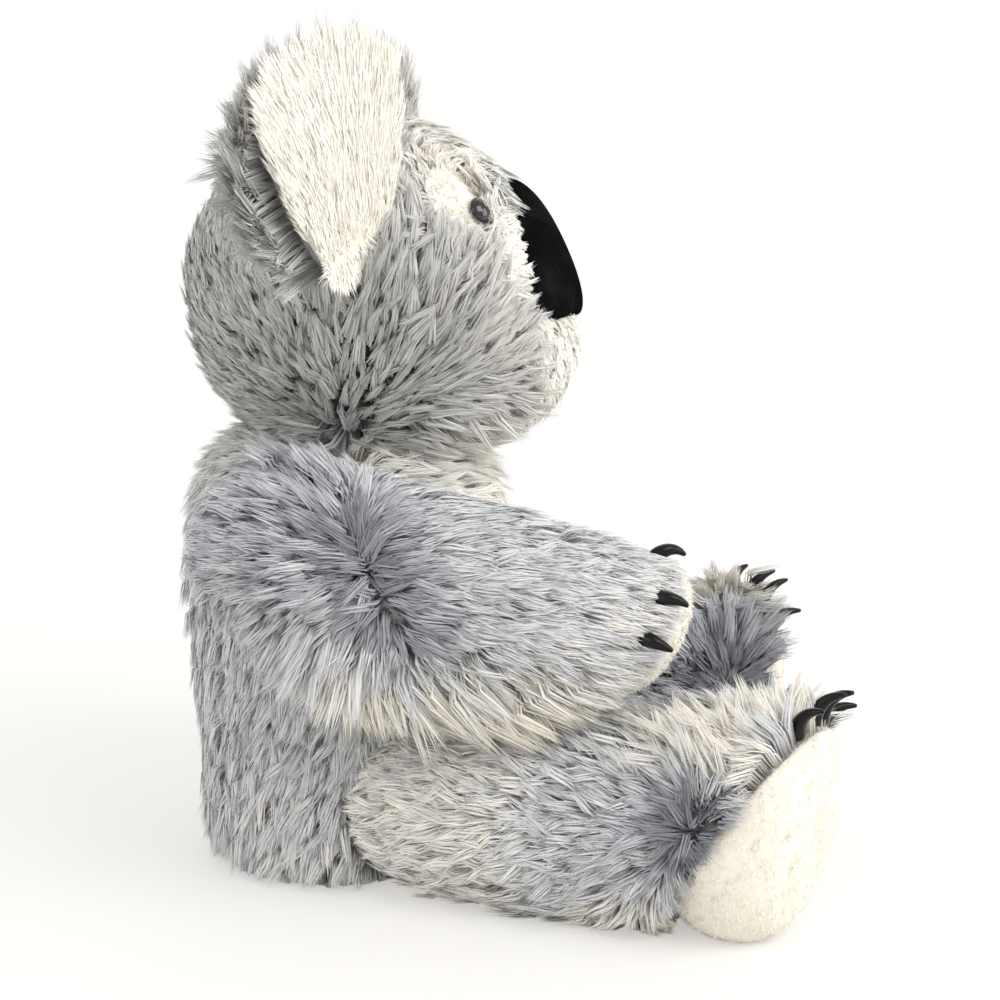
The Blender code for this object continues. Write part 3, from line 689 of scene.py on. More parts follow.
@dataclass(frozen=True)
class Locks:
    """How one pelt's hairs stand together in locks.

    A lock's roots fill a disc of radius spread, a hair is width to either side at its root, and
    its tip is drawn to the others' by the share gather, its middle by middle_share of that.
    Locks differ by ruffle in direction, by uneven in length, by rise_change in angle and by
    tone_change in tone. A hair's first half rises bend times as steeply as its whole, at most at
    the angle steepest. Its tip strays by stray, and its flat side is turned by roll.
    """

    count: int
    hairs: int = 16
    spread: float = 0.0021
    width: float = 0.00035
    gather: float = 0.62
    ruffle: float = 0.30
    uneven: float = 0.18
    seed: int = 1
    rise_change: float = 0.2
    tone_change: float = 0.07
    trials: int = 12
    least_trials: int = 60000
    root_depth: float = 0.0006
    taper: float = 0.8
    bend: float = 1.9
    steepest: float = 1.45
    middle_share: float = 0.35
    stray: float = 0.0004
    roll: float = 0.6
    hair_tone_change: float = 0.04

    def grow(self, name: str, form: Form, finish: FurFinish) -> bpy.types.Object:
        """Grows the pelt as one piece of tapered hairs with a bend.

        A hair runs from its root R over M = R + L/2 (cos a D + sin a N) to its tip
        T = R + L (cos b D + sin b N), D the comb and N the normal, with a > b, and M and T are
        drawn towards those of the lock's middle.

        Args:
            name: The piece's name.
            form: The surface it grows on.
            finish: Its colours.

        Returns:
            The object.
        """
        rng = np.random.default_rng(self.seed)
        trial = rng.random((2, max(self.count * self.trials, self.least_trials)))
        frames = form.frames(*trial)
        area = np.linalg.norm(np.cross(frames[1], frames[2]), axis=-1)
        weight = area * form.grows(frames[0])
        picked = rng.choice(len(weight), self.count, replace=False, p=weight / weight.sum())
        frames = tuple(values[picked] for values in frames)
        points, normals = frames[0], frames[3]
        comb = flattened(form.comb(points), normals)
        turn = rng.normal(0, self.ruffle, (self.count, 1))
        comb = comb * np.cos(turn) + np.cross(normals, comb) * np.sin(turn)
        length = form.nap(points) * (1 + rng.normal(0, self.uneven, self.count)).clip(0.5, 1.5)
        rise = form.rise(points) * (1 + rng.normal(0, self.rise_change, self.count))
        tone = form.tone(points) + rng.normal(0, self.tone_change, self.count)
        root = self.roots(rng, form, trial[:, picked], frames)
        middle, tip = self.bent(rng, root, (comb[:, None], normals[:, None]), length, rise)
        root, middle, tip = (places.reshape(-1, 3) for places in (root, middle, tip))
        side = unit(np.cross(np.repeat(normals, self.hairs, 0), unit(tip - root)))
        lift = np.cross(unit(tip - root), side)
        roll = rng.normal(0, self.roll, (len(root), 1))
        side = side * np.cos(roll) + lift * np.sin(roll)
        side = side * (self.width * rng.uniform(0.7, 1.3, (len(root), 1)))
        tones = np.repeat(tone, self.hairs) + rng.normal(0, self.hair_tone_change, len(root))
        ends = [root + side, root - side, middle + side * self.taper, middle - side * self.taper, tip]
        vertices = form.placed(np.stack(ends, 1)).reshape(-1, 3)
        vertices[:, 2] = vertices[:, 2].clip(CLEARANCE)
        made = mesh_object(name, vertices, *self.blades(tones.clip(0.01, 0.98)))
        made.data.materials.append(finish.material())
        return made

    def roots(self, rng: np.random.Generator, form: Form, places: Array, frames: tuple[Array, ...]) -> Array:
        """Scatters each lock's roots in a disc on the surface, du and dv solved from the tangents.

        Args:
            rng: The pelt's random numbers.
            form: The surface.
            places: u and v of each lock's middle, shape (2, locks).
            frames: Place, dS/du, dS/dv and normal of each lock's middle.

        Returns:
            Places a little under the surface, shape (locks, hairs, 3).
        """
        _, across, along, normals = frames
        radius = self.spread * np.sqrt(rng.random((self.count, self.hairs)))
        angle = rng.random((self.count, self.hairs)) * 2 * math.pi
        flat_a = unit(across)
        flat_b = np.cross(normals, flat_a)
        aa = (across * flat_a).sum(-1)[:, None]
        ab = (along * flat_a).sum(-1)[:, None]
        bb = (along * flat_b).sum(-1)[:, None]
        b_share = radius * np.sin(angle) / np.where(np.abs(bb) < 1e-6, 1e-6, bb)
        a_share = (radius * np.cos(angle) - ab * b_share) / np.where(np.abs(aa) < 1e-6, 1e-6, aa)
        u = places[0][:, None] + a_share.clip(-0.2, 0.2)
        v = (places[1][:, None] + b_share.clip(-0.2, 0.2)).clip(0, 1)
        return form.points(u, v) - normals[:, None] * self.root_depth

    def bent(
        self, rng: np.random.Generator, root: Array, axes: tuple[Array, Array], length: Array, rise: Array
    ) -> tuple[Array, Array]:
        """Middles and tips of all hairs, as grow says.

        Args:
            rng: The pelt's random numbers.
            root: The hairs' roots, shape (locks, hairs, 3).
            axes: D and N of each lock, shape (locks, 1, 3).
            length: L of each lock.
            rise: b of each lock.

        Returns:
            Two arrays of the roots' shape.
        """
        way, out = axes
        own = length[:, None, None] * rng.uniform(0.82, 1.12, (self.count, self.hairs, 1))
        steep = np.minimum(rise * self.bend, self.steepest)[:, None, None]
        low = rise[:, None, None]
        middle = root + own * 0.5 * (np.cos(steep) * way + np.sin(steep) * out)
        tip = root + own * (np.cos(low) * way + np.sin(low) * out)
        middle += (middle.mean(1, keepdims=True) - middle) * self.gather * self.middle_share
        tip += (tip.mean(1, keepdims=True) - tip) * self.gather
        tip += rng.normal(0, self.stray, tip.shape)
        return middle, tip

    def blades(self, tones: Array) -> tuple[Array, Array]:
        """Three triangles for a hair's five points, and where their corners read the palette.

        Args:
            tones: Each hair's place in the palette.

        Returns:
            Faces, and UV of their corners: the tone with a thin width, and the share of the length.
        """
        count, width = len(tones), 0.01
        pattern = np.array([(0, 1, 3), (0, 3, 2), (2, 3, 4)])
        lay = np.array([(width, 0), (0, 0), (width, 0.5), (0, 0.5), (width / 2, 1)])
        faces = np.arange(count)[:, None, None] * 5 + pattern[None]
        bake_map = lay[pattern][None] + np.stack([tones, 0 * tones], -1)[:, None, None]
        return faces.reshape(-1, 3), bake_map.reshape(-1, 2)


@dataclass
class Torso(Form):
    """The torso: rings from the flat seat to the neck, flat where the arms sit."""

    height: float = 0.1577
    half_depth: float = 0.050
    half_width: float = 0.053
    neck_radius: float = 0.030
    neck_forward: float = 0.005
    shoulder_half_width: float = 0.0497
    bib_foot: float = 0.066
    bib_half_angle: float = math.radians(62)
    arm_cover: float = 0.015
    hip_cover: float = 0.033
    hip_height: float = 0.030
    shares: tuple[Triple, ...] = (
        (0.0, 0.66, 0.64),
        (0.03, 0.80, 0.77),
        (0.10, 0.89, 0.85),
        (0.25, 0.94, 0.89),
        (0.50, 1.0, 0.95),
        (0.72, 1.0, 1.0),
        (0.86, 0.93, 0.94),
        (0.94, 0.80, 0.80),
    )

    def __post_init__(self) -> None:
        """Scales the shares to stations of height, half depth, half width and forward shift."""
        rows = [(self.height * z, self.half_depth * x, self.half_width * y, 0) for z, x, y in self.shares]
        rows.append((self.height, self.neck_radius, self.neck_radius, self.neck_forward))
        self.stations = np.array(rows)

    def points(self, u: Array, v: Array) -> Array:
        """x = f(v) + a(v) cos 2 pi u, y = clip(b(v) sin 2 pi u), z = h(v)."""
        rows = along_stations(self.stations, v * (len(self.stations) - 1))
        height, depth, width, forward = np.moveaxis(rows, -1, 0)
        turn = 2 * math.pi * u
        aside = (width * np.sin(turn)).clip(-self.shoulder_half_width, self.shoulder_half_width)
        return np.stack([forward + depth * np.cos(turn), aside, height], -1)

    def holds(self, points: Array, margin: float) -> Array:
        """Whether points lie inside the torso, whose rings are drawn in by the margin.

        Args:
            points: Places, shape (n, 3).
            margin: How far inside counts, below 0 for points outside.

        Returns:
            True or False for each point.
        """
        x, y, z = points.T
        depth = np.interp(z, self.stations[:, 0], self.stations[:, 1]) - margin
        width = np.interp(z, self.stations[:, 0], self.stations[:, 2]) - margin
        return ((x / depth) ** 2 + (y / width) ** 2 < 1) & (z > 0) & (z < self.height - margin)

    def white(self, points: Array) -> Array:
        """1 on the white bib, 0 on the grey, with a soft edge."""
        x, y, z = points.T
        half = self.bib_half_angle + 0.34 * smooth(0.116, 0.132, z)
        inside = 1 - smooth(half - 0.08, half + 0.08, np.abs(np.arctan2(y, x)))
        return inside * smooth(self.bib_foot - 0.004, self.bib_foot + 0.004, z)

    def comb(self, points: Array) -> Array:
        """Down and a little back, and up towards the neck on the shoulders."""
        up = smooth(0.138, 0.153, points[:, 2])
        return np.stack([-0.30 - 0.5 * up, 0 * up, -1 + 1.5 * up], -1)

    def nap(self, points: Array) -> Array:
        """Long, longest at the seat and shorter by the neck."""
        z = points[:, 2]
        return 0.0105 - 0.003 * smooth(0.13, 0.155, z) + 0.0015 * smooth(0.03, 0.005, z)

    def rise(self, points: Array) -> Array:
        """Upright on the shoulders, and spread outwards at the seat."""
        z = points[:, 2]
        return np.radians(26 + 26 * smooth(0.118, 0.145, z) + 20 * smooth(0.045, 0.008, z))

    def tone(self, points: Array) -> Array:
        """Grey, paler on the shoulders and at the seat."""
        z = points[:, 2]
        return 0.48 + 0.16 * smooth(0.12, 0.15, z) + 0.12 * smooth(0.05, 0.0, z)

    def grows(self, points: Array) -> Array:
        """1 where neither an arm, a leg, the neck nor the floor covers the torso."""
        x, y, z = points.T
        right = y < 0
        slope = np.where(right, math.tan(ARM_DROP), math.tan(ARM_DROP + LEFT_ARM_LOWERED))
        arm_line = SHOULDER[1] - (x - SHOULDER[0]) * slope
        beside = (x > np.where(right, -0.026, -0.015)) & (np.abs(y) > 0.040)
        under_arm = beside & (np.abs(z - arm_line) < self.arm_cover) & (right | (x < 0.006))
        hips = np.array([(HIP[0], side.value * HIP[1], self.hip_height) for side in Side])
        near_hip = nearest(points, hips) < self.hip_cover
        return 1.0 - (under_arm | near_hip | (z > self.height - 0.0032) | (z < 0.0015))


@dataclass
class GreyTorso(Torso):
    """The torso's grey fur."""

    def grows(self, points: Array) -> Array:
        """All but the bib."""
        return super().grows(points) * (1 - self.white(points))


@dataclass
class Bib(Torso):
    """The bib's white fur."""

    def grows(self, points: Array) -> Array:
        """Only the bib."""
        return super().grows(points) * self.white(points)

    def comb(self, points: Array) -> Array:
        """Down and forwards, and straight out under the chin."""
        out = smooth(0.118, 0.136, points[:, 2])
        return np.stack([0.25 + 0.9 * out, 0 * out, -1.0 + 1.1 * out], -1)

    def nap(self, points: Array) -> Array:
        """Longer under the chin, where it fills the gap to the arm."""
        return 0.0105 + 0.0045 * smooth(0.112, 0.130, points[:, 2])

    def tone(self, points: Array) -> Array:
        """White, whitest towards the chin as painted light against the head's shadow, creamier at the foot.
        """
        # The rise to full white towards the chin is painted light that offsets the head's shadow.
        return 0.6 + 0.4 * smooth(0.07, 0.12, points[:, 2])


@dataclass
class Head(Form):
    """The head: a radius over yaw and pitch from its centre, cut flat at the neck.

    The fur is described by the degrees to either side and the degrees up from the centre.
    """

    neck_x: float = 0.005
    neck_z: float = 0.158
    forward: float = 0.008
    face_half_depth: float = 0.052
    nape_half_depth: float = 0.064
    half_width: float = 0.060
    crown_half_height: float = 0.051
    chin_half_height: float = 0.066
    neck_opening: float = 0.038
    snout_rise: float = 0.021
    snout_pitch: float = math.radians(-25)
    snout_pitch_reach: float = math.radians(26)
    snout_yaw_reach: float = math.radians(32)
    eye_side: float = 53
    eye_high: float = 32
    patch_half_side: float = 10.5
    patch_half_high: float = 12
    nose_high: float = 13
    nose_half_high: float = 21

    @property
    def centre(self) -> Array:
        """The point that yaw and pitch are counted from."""
        rise = self.chin_half_height * math.sqrt(1 - (self.neck_opening / self.nape_half_depth) ** 2)
        return np.array([self.neck_x + self.forward, 0.0, self.neck_z + rise])

    def radius(self, yaw: Array, pitch: Array) -> Array:
        """Parts of ellipsoids, and a snout: r = r0 + h exp(-(yaw cos pitch / a)^2 - ((pitch - p) / b)^2).

        Args:
            yaw: Radians to the left of straight ahead.
            pitch: Radians up.

        Returns:
            The distance from the centre.
        """
        ahead = np.cos(pitch) * np.cos(yaw)
        aside = np.cos(pitch) * np.sin(yaw)
        above = np.sin(pitch)
        depth = np.where(ahead > 0, self.face_half_depth, self.nape_half_depth)
        height = np.where(above > 0, self.crown_half_height, self.chin_half_height)
        plain = 1 / np.sqrt((ahead / depth) ** 2 + (aside / self.half_width) ** 2 + (above / height) ** 2)
        yaw = (yaw + math.pi) % (2 * math.pi) - math.pi
        off_yaw = yaw * np.cos(pitch) / self.snout_yaw_reach
        off_pitch = (pitch - self.snout_pitch) / self.snout_pitch_reach
        return plain + self.snout_rise * np.exp(-(off_yaw**2) - off_pitch**2)

    def over(self, yaw: Array, pitch: Array, height: Array | float) -> Array:
        """The point at a height over the head: c + d(yaw, pitch) (r(yaw, pitch) + height)."""
        level = np.cos(pitch)
        way = np.stack([level * np.cos(yaw), level * np.sin(yaw), np.sin(pitch)], -1)
        return self.centre + way * (self.radius(yaw, pitch) + height)[..., None]

    def points(self, u: Array, v: Array) -> Array:
        """yaw = 2 pi u, pitch = pi (v - 1/2), with z kept over the neck's plane."""
        places = self.over(2 * math.pi * u, math.pi * (np.asarray(v) - 0.5), 0.0)
        places[..., 2] = places[..., 2].clip(self.neck_z + CLEARANCE)
        return places

    def angles(self, points: Array) -> tuple[Array, Array]:
        """Yaw and pitch of points as seen from the centre."""
        way = unit(points - self.centre)
        return np.arctan2(way[:, 1], way[:, 0]), np.arcsin(way[:, 2].clip(-1, 1))

    def turned(self, points: Array) -> tuple[Array, Array]:
        """Degrees to either side and degrees up."""
        yaw, pitch = self.angles(points)
        return np.abs(np.degrees(yaw)), np.degrees(pitch)

    def white(self, points: Array) -> Array:
        """1 on the white muzzle, chin and cheeks beside the nose, falling to 0 on the grey."""
        side, high = self.turned(points)
        muzzle = smooth(33, 24, side) * smooth(16, 8, high) * smooth(-62, -48, high)
        cheek = smooth(47, 38, side) * smooth(-12, -2, high) * smooth(30, 20, high)
        return np.maximum(muzzle, cheek)

    def grows(self, points: Array) -> Array:
        """1 where neither the neck, the nose nor an eye patch covers the head."""
        side, high = self.turned(points)
        reach = 22 + 7 * smooth(13, -3, high) - 8 * smooth(15, 30, high)
        nose = ((side / reach) ** 3 + (np.abs(high - self.nose_high) / self.nose_half_high) ** 3) < 1
        return 1.0 - (nose | (self.from_eye(points)[0] < 1) | (points[:, 2] < self.neck_z + 0.0015))

    def from_eye(self, points: Array) -> tuple[Array, Array]:
        """How far points lie from the middle of an eye patch, 1 at its rim, and the way from there."""
        side, high = self.turned(points)
        aside = (side - self.eye_side) * np.cos(np.radians(high)) / self.patch_half_side
        far = np.sqrt(aside**2 + ((high - self.eye_high) / self.patch_half_high) ** 2)
        middle = self.over(np.radians([self.eye_side]), np.radians([self.eye_high]), 0.0)[0]
        return far, unit(points - mirrored(points, middle))

    def tuft(self, points: Array) -> Array:
        """1 on the brow beside the nose's top, whose tufts hang over its edge."""
        side, high = self.turned(points)
        return smooth(35, 27, side) * smooth(23, 29, high) * smooth(52, 42, high)

    def jaw(self, points: Array) -> Array:
        """1 on the jaw and under the chin, 0 elsewhere."""
        side, high = self.turned(points)
        return smooth(-22, -42, high) * smooth(84, 62, side)

    def comb(self, points: Array) -> Array:
        """The way the fur lies, in steps that each take over from the one before.

        Up and away from a whorl low on each side, forwards on the brow, down the jaw, away from
        the eyes, up and back from the nose's sides, and over the nose's top edge in tufts.
        """
        side, high = self.turned(points)
        way = away_from(points, np.array([(0.004, side.value * 0.045, 0.160) for side in Side]), 0.02)
        brow = smooth(75, 50, side) * smooth(15, 40, high)
        way += brow[:, None] * np.array([0.9, 0, 0.3])
        way += self.jaw(points)[:, None] * np.array([0.7, 0, -1.3])
        far, leaving = self.from_eye(points)
        way += leaving * (3.0 * smooth(2.1, 1.0, far) * smooth(42, 50, side))[:, None]
        tuft = self.tuft(points)
        beside = smooth(44, 34, side) * smooth(8, 16, high) * smooth(44, 36, high)
        beside = (beside * smooth(18, 24, side) * (1 - tuft))[:, None]
        way = way * (1 - beside) + beside * mirrored(points, (-0.8, 0.55, 0.8))
        return way * (1 - tuft)[:, None] + mirrored(points, (1.0, -0.3, -0.15)) * tuft[:, None]

    def nap(self, points: Array) -> Array:
        """Long on the cheeks and the jaw, shorter on the crown, short behind, by the eyes and by the nose."""
        side, high = self.turned(points)
        crown = smooth(11, 50, high)
        near_nose = smooth(60, 25, side) * smooth(-34, -20, high) * (1 - crown)
        behind = smooth(98, 130, side) * (1 - crown)
        own = 0.0135 - 0.0035 * crown - 0.0045 * near_nose - 0.0052 * behind + 0.0015 * self.jaw(points)
        by_eye = smooth(1.9, 1.0, self.from_eye(points)[0]) * smooth(40, 48, side)
        return (own + 0.0025 * self.tuft(points)) * (1 - 0.5 * by_eye)

    def rise(self, points: Array) -> Array:
        """Fuller low down and before the eyes, flatter on the crown, flattest high up behind."""
        side, high = self.turned(points)
        behind = smooth(98, 130, side) * smooth(-30, -10, high)
        by_eye = bell(side - 36, 7) * bell(high - 25, 9)
        return np.radians(34 - 12 * smooth(-11, 46, high) - 12 * behind + 24 * by_eye)

    def tone(self, points: Array) -> Array:
        """Mid grey behind and in the tufts, paler to the face and the crown, palest by eyes and jaw."""
        side, high = self.turned(points)
        jaw = 0.30 * smooth(-34, -55, high) * smooth(84, 62, side)
        eye = 0.22 * bell(self.from_eye(points)[0], 2.0)
        front = 0.24 * smooth(92, 36, side)
        return 0.34 + 0.20 * smooth(11, 52, high) + front + eye + jaw - 0.34 * self.tuft(points)


@dataclass
class GreyHead(Head):
    """The head's grey fur."""

    def grows(self, points: Array) -> Array:
        """All but the white parts."""
        return super().grows(points) * (1 - self.white(points))


@dataclass
class Muzzle(Head):
    """The white fur of muzzle, chin and cheeks."""

    def grows(self, points: Array) -> Array:
        """Only the white parts."""
        return super().grows(points) * self.white(points)

    def comb(self, points: Array) -> Array:
        """Forwards over the nose's edge at its sides, down the chin, and as the grey fur by the eye."""
        side, high = self.turned(points)
        low = smooth(-4, -18, high)[:, None]
        way = mirrored(points, (1.0, -0.45, -0.1)) * (1 - low) + np.array([0.25, 0.0, -1.0]) * low
        by_eye = (smooth(27, 33, side) * smooth(8, 15, high))[:, None]
        return way * (1 - by_eye) + super().comb(points) * by_eye

    def nap(self, points: Array) -> Array:
        """Short below the nose, longer beside it and on the chin."""
        side, high = self.turned(points)
        beside = smooth(16, 26, side) * smooth(-22, -5, high)
        return 0.0056 + 0.0020 * beside + 0.0045 * smooth(-17, -51, high)

    def tone(self, points: Array) -> float:
        """White."""
        return self.shade


@dataclass
class Limb(Form):
    """An arm or a leg in its joint's own place, x along it, from its round end to its pad.

    A row of shares holds the place along the limb, the height, the width and the bend.
    """

    side: Side = Side.RIGHT
    radius: float = 0.029
    reach: float = 0.120
    cap_share: float = 0.16
    shares: tuple[tuple[float, ...], ...] = ()

    def __post_init__(self) -> None:
        """Scales the shares to stations."""
        self.stations = np.array([(self.reach * row[0], *row[1:]) for row in self.shares])

    def axes(self, pitch: Array, yaw: Array) -> tuple[Array, Array, Array]:
        """The limb's direction, upward axis and outward axis.

        Args:
            pitch: Radians downwards.
            yaw: Radians inwards.

        Returns:
            Three arrays of unit vectors.
        """
        inwards = -self.side.value * np.sin(yaw)
        ahead = np.stack([np.cos(yaw) * np.cos(pitch), inwards * np.cos(pitch), -np.sin(pitch)], -1)
        upwards = np.stack([np.sin(pitch) * np.cos(yaw), inwards * np.sin(pitch), np.cos(pitch)], -1)
        outwards = np.stack([np.sin(yaw), self.side.value * np.cos(yaw), 0 * yaw], -1)
        return ahead, upwards, outwards

    def frame_at(self, along: Array, values: Array) -> tuple[Array, Array, Array, Array]:
        """Centre, half axis up, half axis out and direction, from the way along and a row's other values."""
        raise NotImplementedError

    def frames_at(self, v: Array) -> tuple[Array, Array, Array, Array]:
        """Reads the stations at v, and closes the round end: x = x0 - (x0 + r) cos a, size times sin a.

        Args:
            v: Shares of the way from the round end to the pad.

        Returns:
            Centre, half axis up, half axis out and direction.
        """
        cap = v < self.cap_share
        angle = math.pi / 2 * np.clip(v / self.cap_share, 0, 1)
        at = (v - self.cap_share).clip(0) / (1 - self.cap_share) * (len(self.stations) - 1)
        rows = along_stations(self.stations, at)
        first = self.stations[0]
        along = np.where(cap, first[0] - (first[0] + self.radius) * np.cos(angle), rows[..., 0])
        values = rows[..., 1:].copy()
        values[..., :2] *= np.where(cap, np.sin(angle), 1.0)[..., None]
        return self.frame_at(along, values)

    def facing(self) -> float:
        """The two sides run round their rings in opposite ways."""
        return -float(self.side.value)

    def points(self, u: Array, v: Array) -> Array:
        """S = c(v) + up(v) cos 2 pi u + out(v) sin 2 pi u."""
        centre, up, out, _ = self.frames_at(np.asarray(v, float))
        turn = (2 * math.pi * u)[..., None]
        return self.trimmed(centre + up * np.cos(turn) + out * np.sin(turn), centre)

    def trimmed(self, points: Array, centre: Array) -> Array:
        """Flattens the limb where it rests on something."""
        raise NotImplementedError

    def end(self) -> tuple[Array, ...]:
        """Centre, half axis up, half axis out and direction at the pad's seam."""
        return tuple(values[0] for values in self.frames_at(np.array([1.0])))

    def past_seam(self, points: Array) -> Array:
        """How far points lie behind the plane of the pad's seam."""
        centre, _, _, ahead = self.end()
        return (centre - points) @ ahead


@dataclass
class Pad(Form):
    """The pad that closes a limb's end: a dome that opens like a fan about the top of the end ring.

    At height h = sin a its ring is turned by opens * h ** 0.5, has the share cos a of the end
    ring's size and rises by edge + dome * h.
    """

    limb: Limb
    dome: float
    opens: float = 0.0
    edge: float = 0.0015
    wall_share: float = 0.08
    wall_foot: float = 0.97
    lay: Triple = (0.2, 0.0, -1.0)
    pile: float = 0.0019
    angle: float = math.radians(55)
    shade: float = 0.7

    def points(self, u: Array, v: Array) -> Array:
        """S = c(v) + up(v) s(v) cos 2 pi u + out s(v) sin 2 pi u, s = cos a over the wall.

        Args:
            u: Shares round the pad.
            v: Shares from its seam to its middle.

        Returns:
            Places in the limb's own place.
        """
        centre, up, out, ahead = self.limb.end()
        v = np.asarray(v, float)
        angle = math.pi / 2 * np.clip((v - self.wall_share) / (1 - self.wall_share), 0, 1)
        wall = (v / self.wall_share).clip(0, 1)
        height = np.sin(angle)
        share = (np.cos(angle) * (self.wall_foot + (1 - self.wall_foot) * wall))[..., None]
        rise = (self.edge * wall + self.dome * height)[..., None]
        turn = (self.opens * height**0.5)[..., None]
        tall = np.linalg.norm(up)
        ups = up * np.cos(turn) - ahead * tall * np.sin(turn)
        aheads = ahead * np.cos(turn) + up / tall * np.sin(turn)
        centres = centre + up - ups + aheads * rise
        spin = (2 * math.pi * u)[..., None]
        return self.limb.trimmed(centres + ups * share * np.cos(spin) + out * share * np.sin(spin), centres)

    def placed(self, points: Array) -> Array:
        """Moves points as the limb's are moved."""
        return self.limb.placed(points)

    def facing(self) -> float:
        """As the limb's rings run."""
        return self.limb.facing()


@dataclass
class Arm(Limb):
    """An arm that hangs forwards and turns in at the wrist."""

    half_width: float = 0.0235
    flat: float = 0.0015
    drop: float = ARM_DROP
    turn_in: float = 0.010
    turn_power: float = 3.0
    hand_pitch: float = math.radians(21)
    hand_yaw: float = math.radians(26)
    lowered: float = 0.0
    sag: float = 0.0
    shoulder_plane: float = 0.050
    whorl_reach: float = 0.006
    shares: tuple[tuple[float, ...], ...] = (
        (0.0, 1.0, 1.0, 0.0),
        (0.28, 0.99, 1.0, 0.0),
        (0.55, 0.96, 0.97, 0.0),
        (0.76, 0.90, 0.90, 0.15),
        (0.90, 0.86, 0.86, 0.6),
        (1.0, 0.78, 0.76, 1.0),
    )

    def frame_at(self, along: Array, values: Array) -> tuple[Array, Array, Array, Array]:
        """The centre line drops, turns in with a power of the way along, and sags like a sine."""
        tall, wide, bend = np.moveaxis(values, -1, 0)
        ahead, upwards, outwards = self.axes(self.drop + self.hand_pitch * bend, self.hand_yaw * bend)
        share = (along / self.reach).clip(0, 1)
        offset = self.side.value * (self.half_width - self.flat - self.turn_in * share**self.turn_power)
        hang = self.sag * np.sin(math.pi * share)
        centre = np.stack([along * math.cos(self.drop), offset, -along * math.sin(self.drop) - hang], -1)
        up = upwards * (self.radius * tall)[..., None]
        return centre, up, outwards * (self.half_width * wide)[..., None], ahead

    def trimmed(self, points: Array, centre: Array) -> Array:
        """The side next to the torso is flat."""
        outwards = self.side.value * (points[..., 1] - centre[..., 1])
        aside = centre[..., 1] + self.side.value * outwards.clip(self.flat - self.half_width)
        return np.stack([points[..., 0], aside, points[..., 2]], -1)

    def shoulder(self) -> Array:
        """Where the arm's own place lies in the koala's."""
        return np.array([SHOULDER[0], self.side.value * self.shoulder_plane, SHOULDER[1]])

    def placed(self, points: Array) -> Array:
        """Turns the arm down about its shoulder and moves it there."""
        return rotated(points, 2, 0, self.lowered) + self.shoulder()

    def white(self, points: Array) -> Array:
        """1 on the cream edge by the palm, 0 on the grey."""
        return smooth(0.0075, 0.0045, self.past_seam(rotated(points - self.shoulder(), 0, 2, self.lowered)))

    def below(self, points: Array) -> Array:
        """How far points lie under the line that drops straight from the shoulder."""
        return -points[:, 0] * math.tan(self.drop) - points[:, 2]

    def parting(self) -> Array:
        """Points of the parting on the outer side."""
        line = ((0.023, 0.010), (0.026, 0.001), (0.030, -0.010), (0.036, -0.022))
        return np.array([(x, self.side.value * 0.045, z) for x, z in line])

    def fringe(self, points: Array) -> Array:
        """1 in the fringe under the arm, 0 elsewhere."""
        return smooth(0.010, 0.026, self.below(points)) * smooth(-0.02, 0.02, points[:, 0])

    def comb(self, points: Array) -> Array:
        """Away from the parting, towards the hand before it and back behind it, down and forwards below."""
        line = self.parting()
        way = away_from(points, line, 0.02) * 0.6
        ahead = np.tanh((points[:, 0] - np.interp(-points[:, 2], -line[:, 2], line[:, 0])) / 0.010)
        way[:, 0] += np.where(ahead > 0, 1.25 * ahead, 0.5 * ahead)
        way[:, 2] -= ahead.clip(0) * math.tan(self.drop) * 0.9
        low = smooth(0.004, 0.024, self.below(points))
        return way + low[:, None] * np.array([0.35, self.side.value * 0.25, -1.5])

    def nap(self, points: Array) -> Array:
        """Long in the fringe under the arm, shorter at the shoulder's back, and short at the hand's seam."""
        hand = smooth(0.078, 0.112, points[:, 0])
        back = smooth(0.004, -0.018, points[:, 0])
        full = 0.0108 + 0.0125 * self.fringe(points) * (1 - 0.6 * hand) - 0.0030 * back
        return np.minimum(full, 0.0008 + 0.75 * self.past_seam(points).clip(0))

    def rise(self, points: Array) -> Array:
        """Upright at the parting, fuller towards the shoulder and in the fringe, flat by the hand."""
        back = smooth(0.004, -0.018, points[:, 0])
        near = 27 * smooth(0.034, 0.006, points[:, 0]) * (1 - 0.5 * back)
        at_parting = 22 * bell(nearest(points, self.parting()), self.whorl_reach)
        return np.radians(np.maximum(18 + near, 18 + 30 * self.fringe(points)) + at_parting)

    def tone(self, points: Array) -> Array:
        """Grey, darker at the parting and the shoulder, paler towards the hand, pale in the fringe."""
        x = points[:, 0]
        dark = 0.36 * bell(nearest(points, self.parting()), 0.012)
        fringe = 0.42 * smooth(0.008, 0.026, self.below(points)) * smooth(-0.01, 0.03, x)
        return 0.45 - dark + fringe + 0.16 * smooth(0.045, 0.12, x) - 0.15 * smooth(0.026, 0.0, x)

    def grows(self, points: Array) -> Array:
        """Denser at the parting, and none where the arm is sewn to the torso or right by the palm's seam."""
        touching = Torso().holds(self.placed(points), -0.0035)
        full = 1 + 1.2 * bell(nearest(points, self.parting()), self.whorl_reach)
        return full * (1.0 - touching) * smooth(0.0035, 0.0065, self.past_seam(points))


